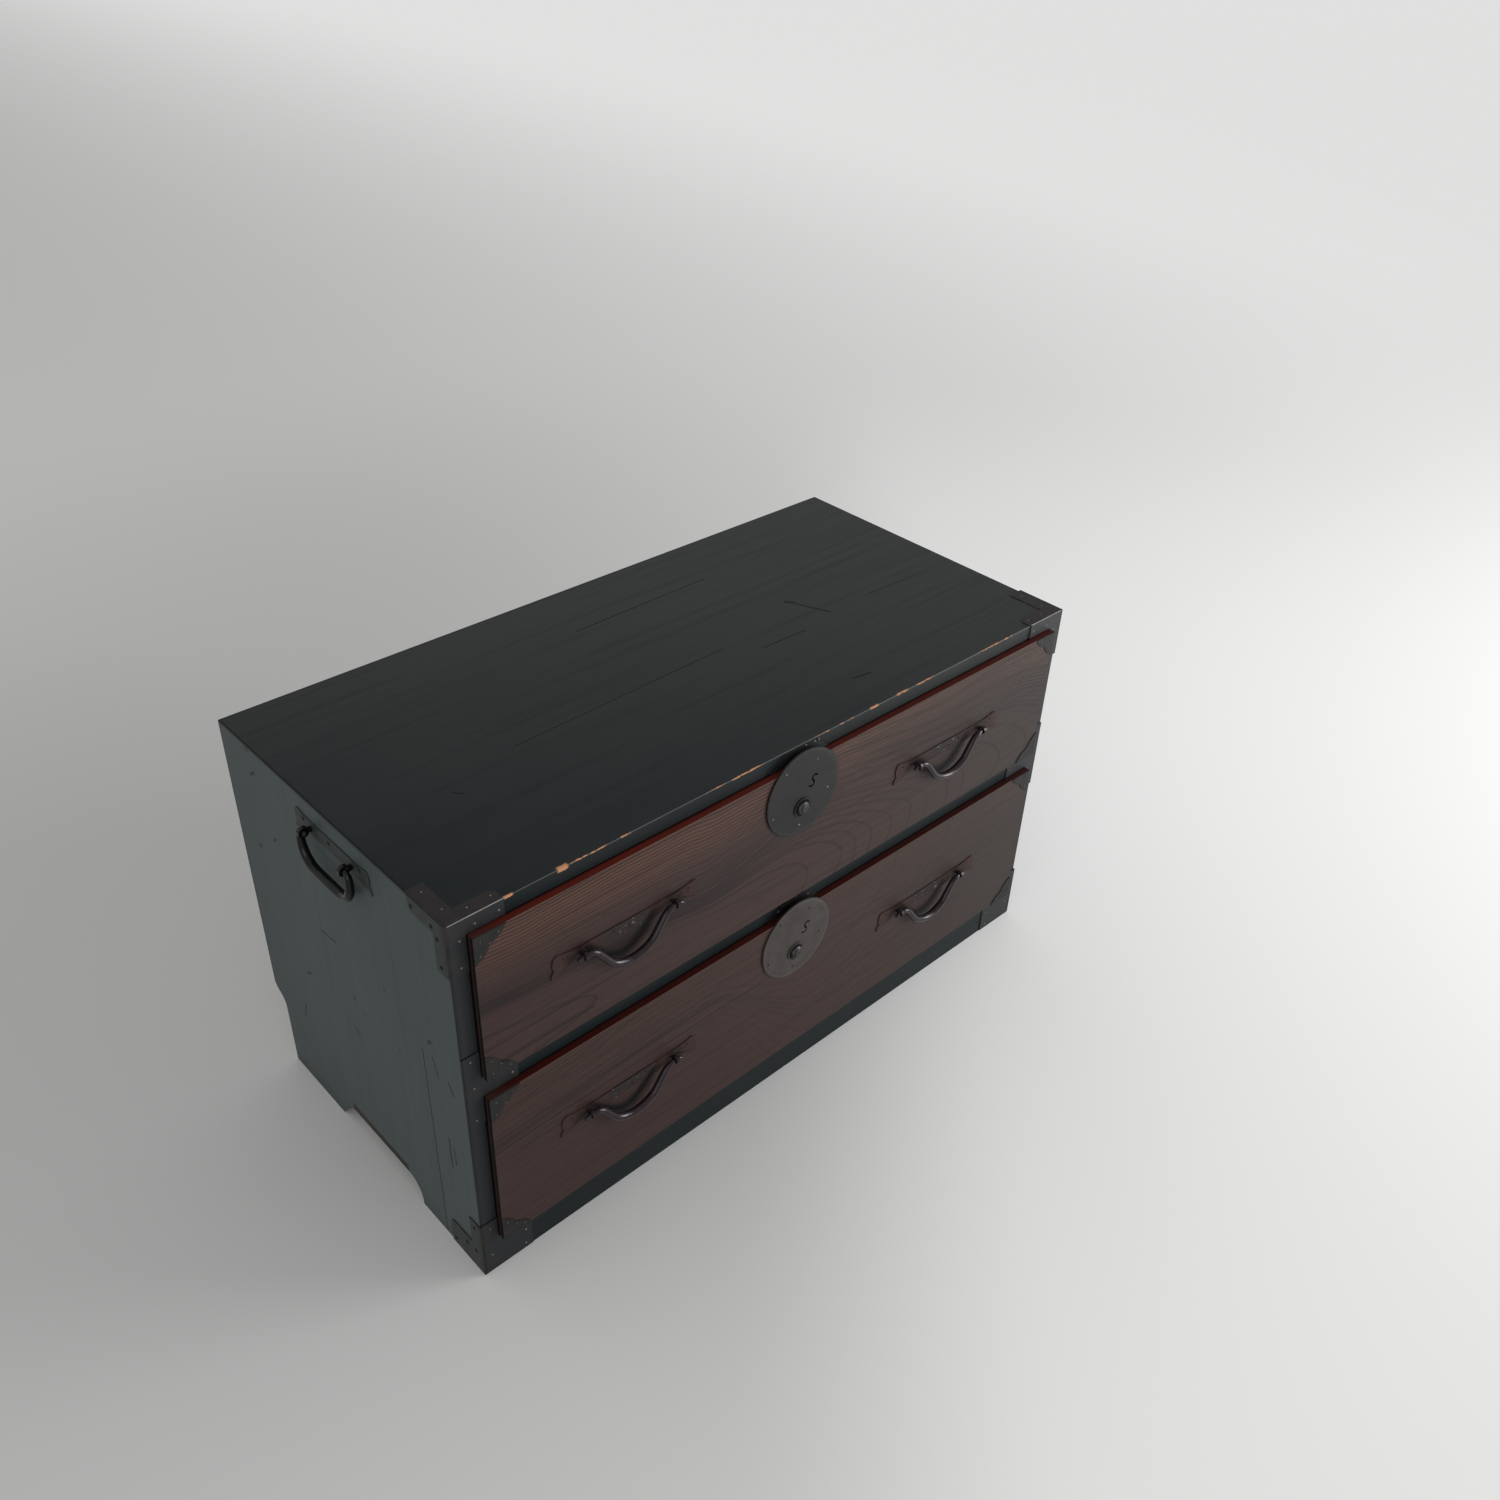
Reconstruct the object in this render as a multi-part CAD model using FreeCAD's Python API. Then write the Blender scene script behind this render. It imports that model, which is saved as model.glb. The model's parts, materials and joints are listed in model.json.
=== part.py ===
import FreeCAD, Part
import math
import os
from FreeCAD import Vector

# A low two-drawer clothing chest: a lacquered case, two drawers that stand proud of it,
# and hand-forged iron locks, handles and corner brackets.
# Millimetres. X runs along the front, -Y is the front, +Z is up.
# The origin is on the floor, under the middle of the whole chest, handles included.

# Case boards
case_width = 900.0
case_depth = 434.0
case_height = 498.0
side_thickness = 20.0
top_thickness = 18.0
bottom_thickness = 18.0
divider_thickness = 10.0
back_thickness = 8.0
back_inset = 24.0
back_board_count = 3
arris_radius = 1.5

# Rails and openings
upper_opening_height = 185.5
mid_rail_height = 26.0
base_rail_height = 50.0
rail_depth = 24.0

# Joints of the case
groove_depth = 6.0
groove_end_gap = 0.5
tenon_length = 8.0
tenon_shoulder = 6.0
through_tenon_length = 120.0
through_tenon_height = 11.0

# Feet, skirting notch and open seam of the side boards
rear_foot_length = 136.0
rear_foot_slope = 26.0
front_foot_length = 122.0
front_foot_slope = 20.0
front_foot_bulge_shares = (0.6, 0.78)
notch_depth = 22.0
notch_top = 125.0
notch_curve_height = 35.0
seam_setback = 72.0
seam_width = 1.2
seam_depth = 1.5
seam_height = 290.0

# Iron brackets of the case
iron_thickness = 1.2
bracket_front_reach = 62.0
bracket_side_reach = 60.0
bracket_top_reach = 65.0
bracket_top_band = 17.0
bracket_side_band = 19.0
bracket_drop = 62.0
bracket_clip = 5.0
mid_bracket_height = 98.0
foot_bracket_height = 79.0
foot_bracket_side_band = 37.0
floor_clearance = 0.6

# Drawers
drawer_proud = 9.0
drawer_front_thickness = 24.0
drawer_side_thickness = 10.0
drawer_back_thickness = 10.0
drawer_bottom_thickness = 7.0
drawer_gap = 1.0
drawer_lift = 0.3
drawer_back_gap = 0.5
drawer_side_step = 6.0
drawer_lap = 12.0
finger_count = 5
corner_plate_width = 36.0
corner_plate_height = 33.0
corner_plate_thickness = 1.0
corner_lobe_bulge = 2.0
corner_cusp_depth = 1.0

# Locks
upper_lock_offset = -11.5
lower_lock_offset = -6.0
upper_lock_drop = 36.5
lower_lock_drop = 39.0
lock_plate_radius = 54.0
lock_plate_thickness = 2.0
strike_margin = 3.0
strike_thickness = 1.5
knob_offset = -1.0
knob_drop = 19.5
knob_radius = 8.5
knob_base_height = 1.5
knob_dome_height = 5.0
knob_dome_shares = (0.0, 0.33, 0.7)
knob_sides = 20
knob_slot_width = 2.6
knob_slot_depth = 3.0
knob_slot_angle = -40.0
knob_turn = 90.0
collar_width = 2.6
collar_gap = 1.2
collar_height = 1.2
shaft_radius = 3.0
shaft_clearance = 0.1
keyhole_offset = 14.0
keyhole_rise = 9.6
keyhole_radius = 3.8
keyhole_width = 2.2
keyhole_tilt = -38.0
lock_box_half_width = 24.0
lock_box_fall = 31.0
lock_box_rise = 20.0
lock_box_wall = 1.5
bolt_travel = 8.0
bolt_thickness = 4.0
bolt_setback = 15.5
bolt_neck_width = 18.0
bolt_body_fall = 24.0
bolt_body_rise = 6.0
bolt_recess = 1.0
bolt_clearance = 0.5
crank_width = 6.0
crank_thickness = 2.5
crank_gap = 0.5
crank_pin_radius = 1.5
crank_pin_clearance = 0.4
spring_bow = 4.5
spring_thickness = 0.8
spring_length = 28.0
spring_gap = 0.3

# Drawer handles
left_handle_inset = 196.0
right_handle_inset = 213.0
handle_rise = 6.5
bail_spacing = 117.0
bail_fall = 38.0
bail_stand = 8.0
bail_bow = 1.0
bail_middle_radius = 4.7
bail_end_radius = 2.4
bail_tail_radius = 7.0
bail_tail_turn = 60.0
bail_shoulder_radius = 18.0
bail_shoulder_turn = 55.0
bail_corner_radius = 24.0
bail_bottom_turn = 36.0
bar_sides = 10
bar_swell_power = 0.4
eye_sides = 10
eye_clearance = 0.5
pin_clearance = 0.1
pin_strip = 1.6
pin_width = 3.6
pin_leg = 14.0
handle_plate_thickness = 1.2
strip_height = 15.5
fan_length = 36.0
fan_rise = 10.5
fan_fall = 16.0

# Side handles
side_handle_drop = 31.0
side_handle_forward = 15.0
side_eye_spacing = 78.0
side_bail_width = 94.0
side_bail_fall = 39.5
side_bail_stand = 10.0
side_bail_middle_radius = 5.5
side_bail_end_radius = 3.2
side_bail_corner = 24.0
side_bail_shoulder = 6.0
side_bail_tail = 7.0
side_pin_strip = 2.2
side_pin_width = 4.6
side_pin_leg = 12.0
side_pin_recess = 0.2
side_strip_height = 17.0
side_fan_length = 34.0

# Outlines, in shares of the sizes that they follow
fan_root_share = 0.14
fan_edge_shares = (
    ((0.42, 0.86), (0.68, 1.0)),
    ((0.88, 0.9), (0.93, 0.42)),
    ((0.95, 0.0), (0.88, -0.36)),
    ((0.97, -0.62), (1.0, -1.0)),
)
fan_return_share = (0.6, -0.72)
corner_lobe_shares = (0.25, 0.75)

# Cuts run this far past the wood
overrun = 5.0

# Places that the sizes give
front_reach = drawer_proud + bail_stand + bail_bow + bail_middle_radius
front_y = -(case_depth - front_reach) / 2
back_y = front_y + case_depth
middle_y = (front_y + back_y) / 2
face_y = front_y - drawer_proud
half_width = case_width / 2
inner_half = half_width - side_thickness
ceiling_z = case_height - top_thickness
upper_floor_z = ceiling_z - upper_opening_height
mid_rail_bottom_z = upper_floor_z - mid_rail_height
lower_floor_z = base_rail_height
foot_z = base_rail_height - bottom_thickness
panel_back_y = back_y - back_inset
panel_front_y = panel_back_y - back_thickness
rail_back_y = front_y + rail_depth
across_x = Vector(1, 0, 0)
across_y = Vector(0, 1, 0)
up_z = Vector(0, 0, 1)


class Site:
    """A place on a flat face: u runs across the face, v up it and w out of it."""

    def __init__(self, origin, across, up, out):
        self.origin = origin
        self.across = across
        self.up = up
        self.out = out

    def at(self, u, v, w=0.0):
        return self.origin + self.across * u + self.up * v + self.out * w


class Lock(Site):
    """The middle of a lock plate on a drawer's face, and how far it lies below the drawer's top."""

    def __init__(self, x, top_z, drop):
        super().__init__(Vector(x, face_y, top_z - drop), across_x, up_z, -across_y)
        self.drop = drop


def box(low, high):
    """A solid box between its lowest and its highest corner."""
    size = high - low
    return Part.makeBox(size.x, size.y, size.z, low)


def site_box(site, low, high):
    """A box on a site, between two corners given as u, v, w."""
    first = site.at(*low)
    second = site.at(*high)
    lowest = Vector(min(first.x, second.x), min(first.y, second.y), min(first.z, second.z))
    highest = Vector(max(first.x, second.x), max(first.y, second.y), max(first.z, second.z))
    return box(lowest, highest)


def outline(site, start, steps, w):
    """A flat face on a site. A step is one point for a straight edge, or a middle and an end for an arc."""
    edges = []
    here = site.at(start[0], start[1], w)
    for step in steps:
        points = [site.at(u, v, w) for u, v in step]
        if len(points) == 1:
            edges.append(Part.makeLine(here, points[0]))
        else:
            edges.append(Part.Arc(here, points[0], points[1]).toShape())
        here = points[-1]
    return Part.Face(Part.Wire(edges))


def prism(site, start, steps, w, thickness):
    """An outline raised out of its site by a thickness."""
    return outline(site, start, steps, w).extrude(site.out * thickness)


def ring(centre, first, second, radius, sides):
    """The corners of a regular polygon about a point, in the plane of two directions."""
    corners = []
    for index in range(sides):
        angle = 2 * math.pi * index / sides
        corners.append(centre + first * (radius * math.cos(angle)) + second * (radius * math.sin(angle)))
    return corners


def flat_face(corners):
    """The flat face inside a closed loop of corners."""
    return Part.Face(Part.makePolygon(corners + corners[:1]))


def skin(rings):
    """A solid through rings of corners: a flat end at each, and two triangles for each side between rings."""
    faces = [flat_face(rings[0]), flat_face(rings[-1])]
    for near, far in zip(rings, rings[1:]):
        for index in range(len(near)):
            faces.append(flat_face([near[index - 1], near[index], far[index]]))
            faces.append(flat_face([near[index - 1], far[index], far[index - 1]]))
    shell = Part.Shell(faces)
    shell.sewShape()
    return Part.Solid(shell)


def mirrored(shape):
    """The same piece on the other side of the chest."""
    return shape.mirror(Vector(0, 0, 0), across_x)


def polygon_steps(points):
    """Straight steps through points and back to the first one."""
    return [(point,) for point in points[1:]] + [(points[0],)]


def s_curve(start, end):
    """Two equal arcs from start to end that begin and end upright, as steps of an outline."""
    run = end[0] - start[0]
    fall = end[1] - start[1]
    turn = 2 * math.atan(abs(run) / abs(fall))
    radius = abs(fall) / 2 / math.sin(turn)
    inward = math.copysign(radius * (1 - math.cos(turn / 2)), run)
    along = math.copysign(radius * math.sin(turn / 2), fall)
    middle = ((start[0] + end[0]) / 2, (start[1] + end[1]) / 2)
    first = (start[0] + inward, start[1] + along)
    second = (end[0] - inward, end[1] - along)
    return [(first, middle), (second, end)]


# Case


def case_envelope():
    """The case's outer form, with its edges eased."""
    block = box(Vector(-half_width, front_y, 0), Vector(half_width, back_y, case_height))
    eased = []
    for edge in block.Edges:
        middle = edge.BoundBox.Center
        if middle.z > 0:
            eased.append(edge)
    return block.makeFillet(arris_radius, eased)


def through_tenon(side):
    """The bottom board's tenon, which shows in the side above the foot gap."""
    gap_rear = back_y - rear_foot_length - rear_foot_slope
    gap_front = front_y + front_foot_length + front_foot_slope
    middle = (gap_rear + gap_front) / 2
    rear = min(middle + through_tenon_length / 2, gap_rear)
    front = max(middle - through_tenon_length / 2, gap_front)
    low_x = min(side * inner_half, side * half_width)
    high_x = max(side * inner_half, side * half_width)
    return box(Vector(low_x, front, foot_z), Vector(high_x, rear, foot_z + through_tenon_height))


def bottom_board():
    """The case's floor, housed in the sides, with a through tenon at each end."""
    reach = inner_half + groove_depth - groove_end_gap
    board = box(Vector(-reach, rail_back_y, foot_z), Vector(reach, panel_front_y, lower_floor_z))
    return board.fuse([through_tenon(-1), through_tenon(1)]).removeSplitter()


def bottom_housing(side):
    """The groove and the slot in one side board that take the bottom board."""
    reach = inner_half + groove_depth
    groove = box(Vector(-reach, rail_back_y, foot_z), Vector(reach, panel_front_y, lower_floor_z))
    return groove.fuse(through_tenon(side))


def divider_panel(end_gap):
    """The thin shelf between the drawers, flush with the top of the middle rail."""
    reach = inner_half + groove_depth - end_gap
    low = Vector(-reach, rail_back_y, upper_floor_z - divider_thickness)
    high = Vector(reach, panel_front_y, upper_floor_z)
    return box(low, high)


def back_panel(end_gap):
    """The back, set in a groove round the sides and the top."""
    reach = inner_half + groove_depth - end_gap
    top = ceiling_z + groove_depth - end_gap
    return box(Vector(-reach, panel_front_y, foot_z), Vector(reach, panel_back_y, top))


def back_boards():
    """The back as level boards, edge to edge."""
    whole = back_panel(groove_end_gap)
    low = whole.BoundBox.ZMin
    share = whole.BoundBox.ZLength / back_board_count
    boards = []
    for index in range(back_board_count):
        layer = box(
            Vector(-half_width, panel_front_y, low + index * share),
            Vector(half_width, panel_back_y, low + (index + 1) * share),
        )
        boards.append(whole.common(layer))
    return Part.makeCompound(boards)


def rail(low_z, high_z, tenon_extra):
    """A front rail with a tenon at each end. The extra length is for its mortise."""
    body = box(Vector(-inner_half, front_y, low_z), Vector(inner_half, rail_back_y, high_z))
    reach = inner_half + tenon_length + tenon_extra
    tenon = box(
        Vector(-reach, front_y + tenon_shoulder, low_z + tenon_shoulder),
        Vector(reach, rail_back_y - tenon_shoulder, high_z - tenon_shoulder),
    )
    return body.fuse(tenon).removeSplitter()


def bolt_mortise(lock):
    """The slot in the rail above a drawer that its lock bolt rises into."""
    half = bolt_neck_width / 2 + bolt_clearance
    near = -bolt_setback + bolt_clearance
    far = -bolt_setback - bolt_thickness - bolt_clearance
    top = lock.drop + drawer_gap + bolt_travel
    return site_box(lock, (-half, lock.drop, near), (half, top, far))


def top_board():
    """The top, mitred to the sides, with the groove for the back and the mortise of the upper lock."""
    site = Site(Vector(0, front_y, 0), across_x, up_z, across_y)
    corners = [
        (-half_width, case_height),
        (half_width, case_height),
        (inner_half, ceiling_z),
        (-inner_half, ceiling_z),
    ]
    board = prism(site, corners[0], polygon_steps(corners), 0.0, case_depth)
    board = board.common(case_envelope())
    return board.cut([back_panel(0.0), bolt_mortise(upper_drawer.lock)])


def side_outline_steps():
    """The side board's outline as y, z steps, from the front foot up, over and back along the floor."""
    notch_y = back_y - notch_depth
    gap_rear_floor = (back_y - rear_foot_length, 0.0)
    gap_rear_top = (gap_rear_floor[0] - rear_foot_slope, foot_z)
    gap_front_floor = (front_y + front_foot_length, 0.0)
    gap_front_top = (gap_front_floor[0] + front_foot_slope, foot_z)
    bulge_run, bulge_rise = front_foot_bulge_shares
    bulge = (gap_front_top[0] - front_foot_slope * bulge_run, foot_z * bulge_rise)
    steps = [((front_y, case_height),), ((back_y, case_height),), ((back_y, notch_top),)]
    steps += s_curve((back_y, notch_top), (notch_y, notch_top - notch_curve_height))
    steps += [((notch_y, 0.0),), (gap_rear_floor,), (gap_rear_top,), (gap_front_top,)]
    steps += [(bulge, gap_front_floor), ((front_y, 0.0),)]
    return steps


def side_board():
    """The left side: mitred top, shaped feet, skirting notch, open seam and the housings of its neighbours."""
    site = Site(Vector(-half_width, 0, 0), across_y, up_z, across_x)
    board = prism(site, (front_y, 0.0), side_outline_steps(), 0.0, side_thickness)
    end = Site(Vector(0, front_y - overrun, 0), across_x, up_z, across_y)
    slope = top_thickness / side_thickness
    mitre = [
        (-half_width - overrun, case_height + overrun * slope),
        (-inner_half + overrun, ceiling_z - overrun * slope),
        (-inner_half + overrun, case_height + overrun * slope),
    ]
    board = board.cut(prism(end, mitre[0], polygon_steps(mitre), 0.0, case_depth + overrun + overrun))
    board = board.common(case_envelope())
    seam_y = front_y + seam_setback
    seam = box(
        Vector(-half_width, seam_y, 0),
        Vector(-half_width + seam_depth, seam_y + seam_width, seam_height),
    )
    housings = [
        seam,
        bottom_housing(-1),
        divider_panel(0.0),
        back_panel(0.0),
        rail(mid_rail_bottom_z, upper_floor_z, groove_end_gap),
        rail(0.0, base_rail_height, groove_end_gap),
    ]
    board = board.cut(housings)
    return board.cut(side_pin_slots())


def side_pin_slots():
    """The slots for the side handle's eye pins, each with a recess for the legs."""
    slots = []
    half = side_pin_width / 2 + pin_clearance
    leg = side_pin_leg + pin_clearance
    floor = -side_thickness + side_pin_strip + side_pin_recess
    for u in (-side_eye_spacing / 2, side_eye_spacing / 2):
        slots.append(pin_slot(side_handle, u, side_pin_strip, side_pin_width, 0.0, side_thickness))
        slots.append(site_box(side_handle, (u - half, -leg, -side_thickness), (u + half, leg, floor)))
    return slots


# Iron of the case


def angle_steps(long_reach, long_band, short_reach, short_band, clip):
    """An L from a corner at the origin, as an outline's points; the first leg's inner end is clipped."""
    edge = -iron_thickness
    tip = [(long_reach, long_band)]
    if clip > 0:
        tip = [(long_reach, long_band - clip), (long_reach - clip, long_band)]
    inner = [(short_band, long_band), (short_band, short_reach), (edge, short_reach)]
    return [(edge, edge), (long_reach, edge)] + tip + inner


def corner_face(site, points):
    """One face of a bracket, standing an iron's thickness out of the wood."""
    return prism(site, points[0], polygon_steps(points), 0.0, iron_thickness)


def top_corner_bracket():
    """The folded plate over an upper front corner: an angle on the top, the front and the side."""
    corner = Vector(-half_width, front_y, case_height)
    top = Site(corner, across_x, across_y, up_z)
    front = Site(corner, across_x, -up_z, -across_y)
    side = Site(corner, across_y, -up_z, -across_x)
    pieces = [
        corner_face(top, angle_steps(
            bracket_front_reach, bracket_top_band, bracket_top_reach, bracket_side_band, bracket_clip)),
        corner_face(front, angle_steps(
            bracket_front_reach, top_thickness, bracket_drop, side_thickness, 0.0)),
        corner_face(side, angle_steps(
            bracket_side_reach, bracket_top_band, bracket_drop, bracket_side_band, bracket_clip)),
    ]
    return pieces[0].fuse(pieces[1:]).removeSplitter()


def mid_bracket():
    """The T plate where the middle rail meets the side."""
    middle_z = (mid_rail_bottom_z + upper_floor_z) / 2
    post = Site(Vector(-half_width, front_y, middle_z), across_x, up_z, -across_y)
    half = mid_bracket_height / 2
    upright = site_box(post, (0, -half, 0), (side_thickness, half, iron_thickness))
    leg_half = mid_rail_height / 2
    leg = site_box(post, (0, -leg_half, 0), (bracket_front_reach, leg_half, iron_thickness))
    return upright.fuse(leg).removeSplitter()


def foot_bracket():
    """The folded plate round a lower front corner: an angle on the front and one on the side."""
    corner = Vector(-half_width, front_y, floor_clearance + iron_thickness)
    front = Site(corner, across_x, up_z, -across_y)
    side = Site(corner, across_y, up_z, -across_x)
    height = foot_bracket_height - floor_clearance
    band = base_rail_height - floor_clearance - iron_thickness
    pieces = [
        corner_face(front, angle_steps(bracket_front_reach, band, height, side_thickness, 0.0)),
        corner_face(side, angle_steps(
            bracket_side_reach, foot_bracket_side_band, height, bracket_side_band, bracket_clip)),
    ]
    return pieces[0].fuse(pieces[1]).removeSplitter()


def strike_plate(lock, rail_height):
    """The segment-shaped plate on the rail, behind the part of the lock plate that stands over it."""
    radius = lock_plate_radius + strike_margin
    low = lock.drop + drawer_gap
    half = math.sqrt(radius * radius - low * low)
    steps = [((0.0, radius), (half, low)), ((-half, low),)]
    segment = prism(lock, (-half, low), steps, -drawer_proud, strike_thickness)
    high = low + rail_height - arris_radius
    rail_front = site_box(lock, (-half, low, -drawer_proud), (half, high, strike_thickness - drawer_proud))
    return segment.common(rail_front)


# Drawers


class Drawer:
    """One drawer's places, from the floor and the ceiling of its opening."""

    def __init__(self, floor, ceiling, lock_offset, lock_drop):
        self.low = floor + drawer_lift
        self.high = ceiling - drawer_gap
        self.half = inner_half - drawer_gap
        self.rear = panel_front_y - drawer_back_gap
        self.wall_low = self.low + drawer_bottom_thickness
        self.wall_high = self.high - drawer_side_step
        self.lap_y = face_y + drawer_front_thickness - drawer_lap
        self.lock = Lock(lock_offset, self.high, lock_drop)

    def side(self):
        """The left side board, fingers cut at its rear end."""
        low = Vector(-self.half, self.lap_y, self.wall_low)
        high = Vector(-self.half + drawer_side_thickness, self.rear, self.wall_high)
        return box(low, high).cut(self.fingers(1))

    def fingers(self, first):
        """Every other finger of the rear corner joint, from the given one up, right across the back."""
        share = (self.wall_high - self.wall_low) / finger_count
        low_y = self.rear - drawer_back_thickness
        pieces = []
        for index in range(first, finger_count, 2):
            low = Vector(-self.half, low_y, self.wall_low + index * share)
            high = Vector(self.half, self.rear, self.wall_low + (index + 1) * share)
            pieces.append(box(low, high))
        return pieces

    def back(self):
        """The back board, its fingers let into both sides."""
        low = Vector(-self.half, self.rear - drawer_back_thickness, self.wall_low)
        high = Vector(self.half, self.rear, self.wall_high)
        sides = [self.side(), mirrored(self.side())]
        return box(low, high).cut(sides)

    def bottom(self):
        """The bottom board, under the sides and the back, let into the front."""
        low = Vector(-self.half, self.lap_y, self.low)
        return box(low, Vector(self.half, self.rear, self.wall_low))

    def front(self):
        """The front, rebated for the sides and the bottom, cut for the lock and slotted for the eye pins."""
        low = Vector(-self.half, face_y, self.low)
        board = box(low, Vector(self.half, face_y + drawer_front_thickness, self.high))
        cuts = [self.side(), mirrored(self.side()), self.bottom()]
        cuts += [lock_box_block(self.lock), bolt_channel(self.lock)]
        for site in self.handles():
            for u in (-bail_spacing / 2, bail_spacing / 2):
                cuts.append(pin_slot(site, u, pin_strip, pin_width, 0.0, drawer_front_thickness))
        return board.cut(cuts)

    def corner_plates(self):
        """The four scalloped iron plates at the corners of the front."""
        plates = []
        for side in (-1, 1):
            for end, up in ((self.low, up_z), (self.high, -up_z)):
                corner = Vector(side * self.half, face_y, end)
                site = Site(corner, across_x * -side, up, -across_y)
                plates.append(prism(site, (0.0, 0.0), corner_plate_steps(), 0.0, corner_plate_thickness))
        return Part.makeCompound(plates)

    def handles(self):
        """The middle of the left and of the right handle, on the drawer's face."""
        height = (self.low + self.high) / 2 + handle_rise
        return [
            Site(Vector(x, face_y, height), across_x, up_z, -across_y)
            for x in (left_handle_inset - half_width, half_width - right_handle_inset)
        ]


def corner_plate_steps():
    """A right angle closed by two round lobes that meet in a cusp."""
    length = math.hypot(corner_plate_width, corner_plate_height)
    normal = (corner_plate_height / length, corner_plate_width / length)

    def along(share, push):
        u = corner_plate_width * (1 - share) + normal[0] * push
        v = corner_plate_height * share + normal[1] * push
        return (u, v)

    first, second = corner_lobe_shares
    cusp = along((first + second) / 2, -corner_cusp_depth)
    return [
        ((corner_plate_width, 0.0),),
        (along(first, corner_lobe_bulge), cusp),
        (along(second, corner_lobe_bulge), (0.0, corner_plate_height)),
        ((0.0, 0.0),),
    ]


# Locks


def lock_box_block(lock):
    """The outer form of the lock's iron box, through the drawer front."""
    low = (-lock_box_half_width, -lock_box_fall, 0.0)
    high = (lock_box_half_width, lock_box_rise, -drawer_front_thickness)
    return site_box(lock, low, high)


def bolt_channel(lock):
    """The slot that the bolt's neck runs in, from the lock box to the top of the drawer front."""
    half = bolt_neck_width / 2 + bolt_clearance
    near = -bolt_setback + bolt_clearance
    far = -bolt_setback - bolt_thickness - bolt_clearance
    return site_box(lock, (-half, lock_box_rise - lock_box_wall, near), (half, lock.drop, far))


def lock_box(lock):
    """An iron tray behind the lock plate, open to it, with a slot for the bolt."""
    inner_half_width = lock_box_half_width - lock_box_wall
    low = (-inner_half_width, -lock_box_fall + lock_box_wall, 0.0)
    high = (inner_half_width, lock_box_rise - lock_box_wall, -drawer_front_thickness + lock_box_wall)
    return lock_box_block(lock).cut([site_box(lock, low, high), bolt_channel(lock)])


def ring_slot(lock, centre, start, end):
    """Part of a ring as an outline, between two angles in degrees."""
    def point(radius, angle):
        turn = math.radians(angle + keyhole_tilt)
        return (centre[0] + radius * math.cos(turn), centre[1] + radius * math.sin(turn))

    outer = keyhole_radius + keyhole_width / 2
    inner = keyhole_radius - keyhole_width / 2
    middle = (start + end) / 2
    steps = [
        (point(outer, middle), point(outer, end)),
        (point(inner, end),),
        (point(inner, middle), point(inner, start)),
        (point(outer, start),),
    ]
    return prism(lock, point(outer, start), steps, -overrun, overrun + overrun)


def keyhole(lock):
    """An S-shaped keyhole: two part rings that meet in the middle."""
    tilt = math.radians(90 + keyhole_tilt)
    shift = (keyhole_radius * math.cos(tilt), keyhole_radius * math.sin(tilt))
    upper = (keyhole_offset + shift[0], keyhole_rise + shift[1])
    lower = (keyhole_offset - shift[0], keyhole_rise - shift[1])
    return [ring_slot(lock, upper, 60, 270), ring_slot(lock, lower, -120, 90)]


def lock_plate(lock):
    """The round plate, with a raised collar for the knob and the keyhole."""
    plate = Part.makeCylinder(lock_plate_radius, lock_plate_thickness, lock.at(0, 0), lock.out)
    inner = knob_radius + collar_gap
    front = lock.at(knob_offset, -knob_drop, lock_plate_thickness)
    collar = Part.makeCylinder(inner + collar_width, collar_height, front, lock.out)
    collar = collar.cut(Part.makeCylinder(inner, collar_height, front, lock.out))
    hole = Part.makeCylinder(
        shaft_radius + shaft_clearance, lock_plate_thickness, lock.at(knob_offset, -knob_drop), lock.out)
    return plate.fuse(collar).removeSplitter().cut([hole] + keyhole(lock))


def crank_pin_place():
    """The crank pin at rest, half the knob's quarter turn below level, as u and v on the lock."""
    throw = bolt_travel / 2
    return (knob_offset + throw, -knob_drop - throw)


def lock_knob(lock):
    """The slotted domed knob, its shaft, and the crank and pin that lift the bolt."""
    base_w = lock_plate_thickness + shaft_clearance
    axis = lock.at(knob_offset, -knob_drop, base_w)
    foot_w = base_w + knob_base_height
    foot = lock.at(knob_offset, -knob_drop, foot_w)
    rings = [ring(axis, lock.across, lock.up, knob_radius, knob_sides)]
    for share in knob_dome_shares:
        angle = math.pi / 2 * share
        centre = foot + lock.out * (knob_dome_height * math.sin(angle))
        radius = knob_radius * math.cos(angle)
        rings.append(ring(centre, lock.across, lock.up, radius, knob_sides))
    head = skin(rings).removeSplitter()
    top_w = foot_w + knob_dome_height
    slot = site_box(
        lock,
        (knob_offset, -knob_drop - knob_slot_width / 2, top_w - knob_slot_depth),
        (knob_offset + knob_radius + overrun, -knob_drop + knob_slot_width / 2, top_w + overrun),
    )
    slot.rotate(foot, lock.out, knob_slot_angle)
    crank_front = -bolt_setback + crank_gap + crank_thickness
    shaft_length = base_w - crank_front
    shaft = Part.makeCylinder(shaft_radius, shaft_length, lock.at(knob_offset, -knob_drop, crank_front), lock.out)
    throw = math.hypot(bolt_travel / 2, bolt_travel / 2)
    crank = site_box(
        lock,
        (knob_offset - crank_width / 2, -knob_drop - crank_width / 2, crank_front),
        (knob_offset + throw + crank_width / 2, -knob_drop + crank_width / 2, crank_front - crank_thickness),
    )
    crank.rotate(foot, lock.out, -knob_turn / 2)
    pin_u, pin_v = crank_pin_place()
    pin_length = crank_thickness + crank_gap + bolt_thickness
    pin = Part.makeCylinder(crank_pin_radius, pin_length, lock.at(pin_u, pin_v, crank_front), -lock.out)
    return head.cut(slot).fuse([shaft, crank, pin]).removeSplitter()


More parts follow.
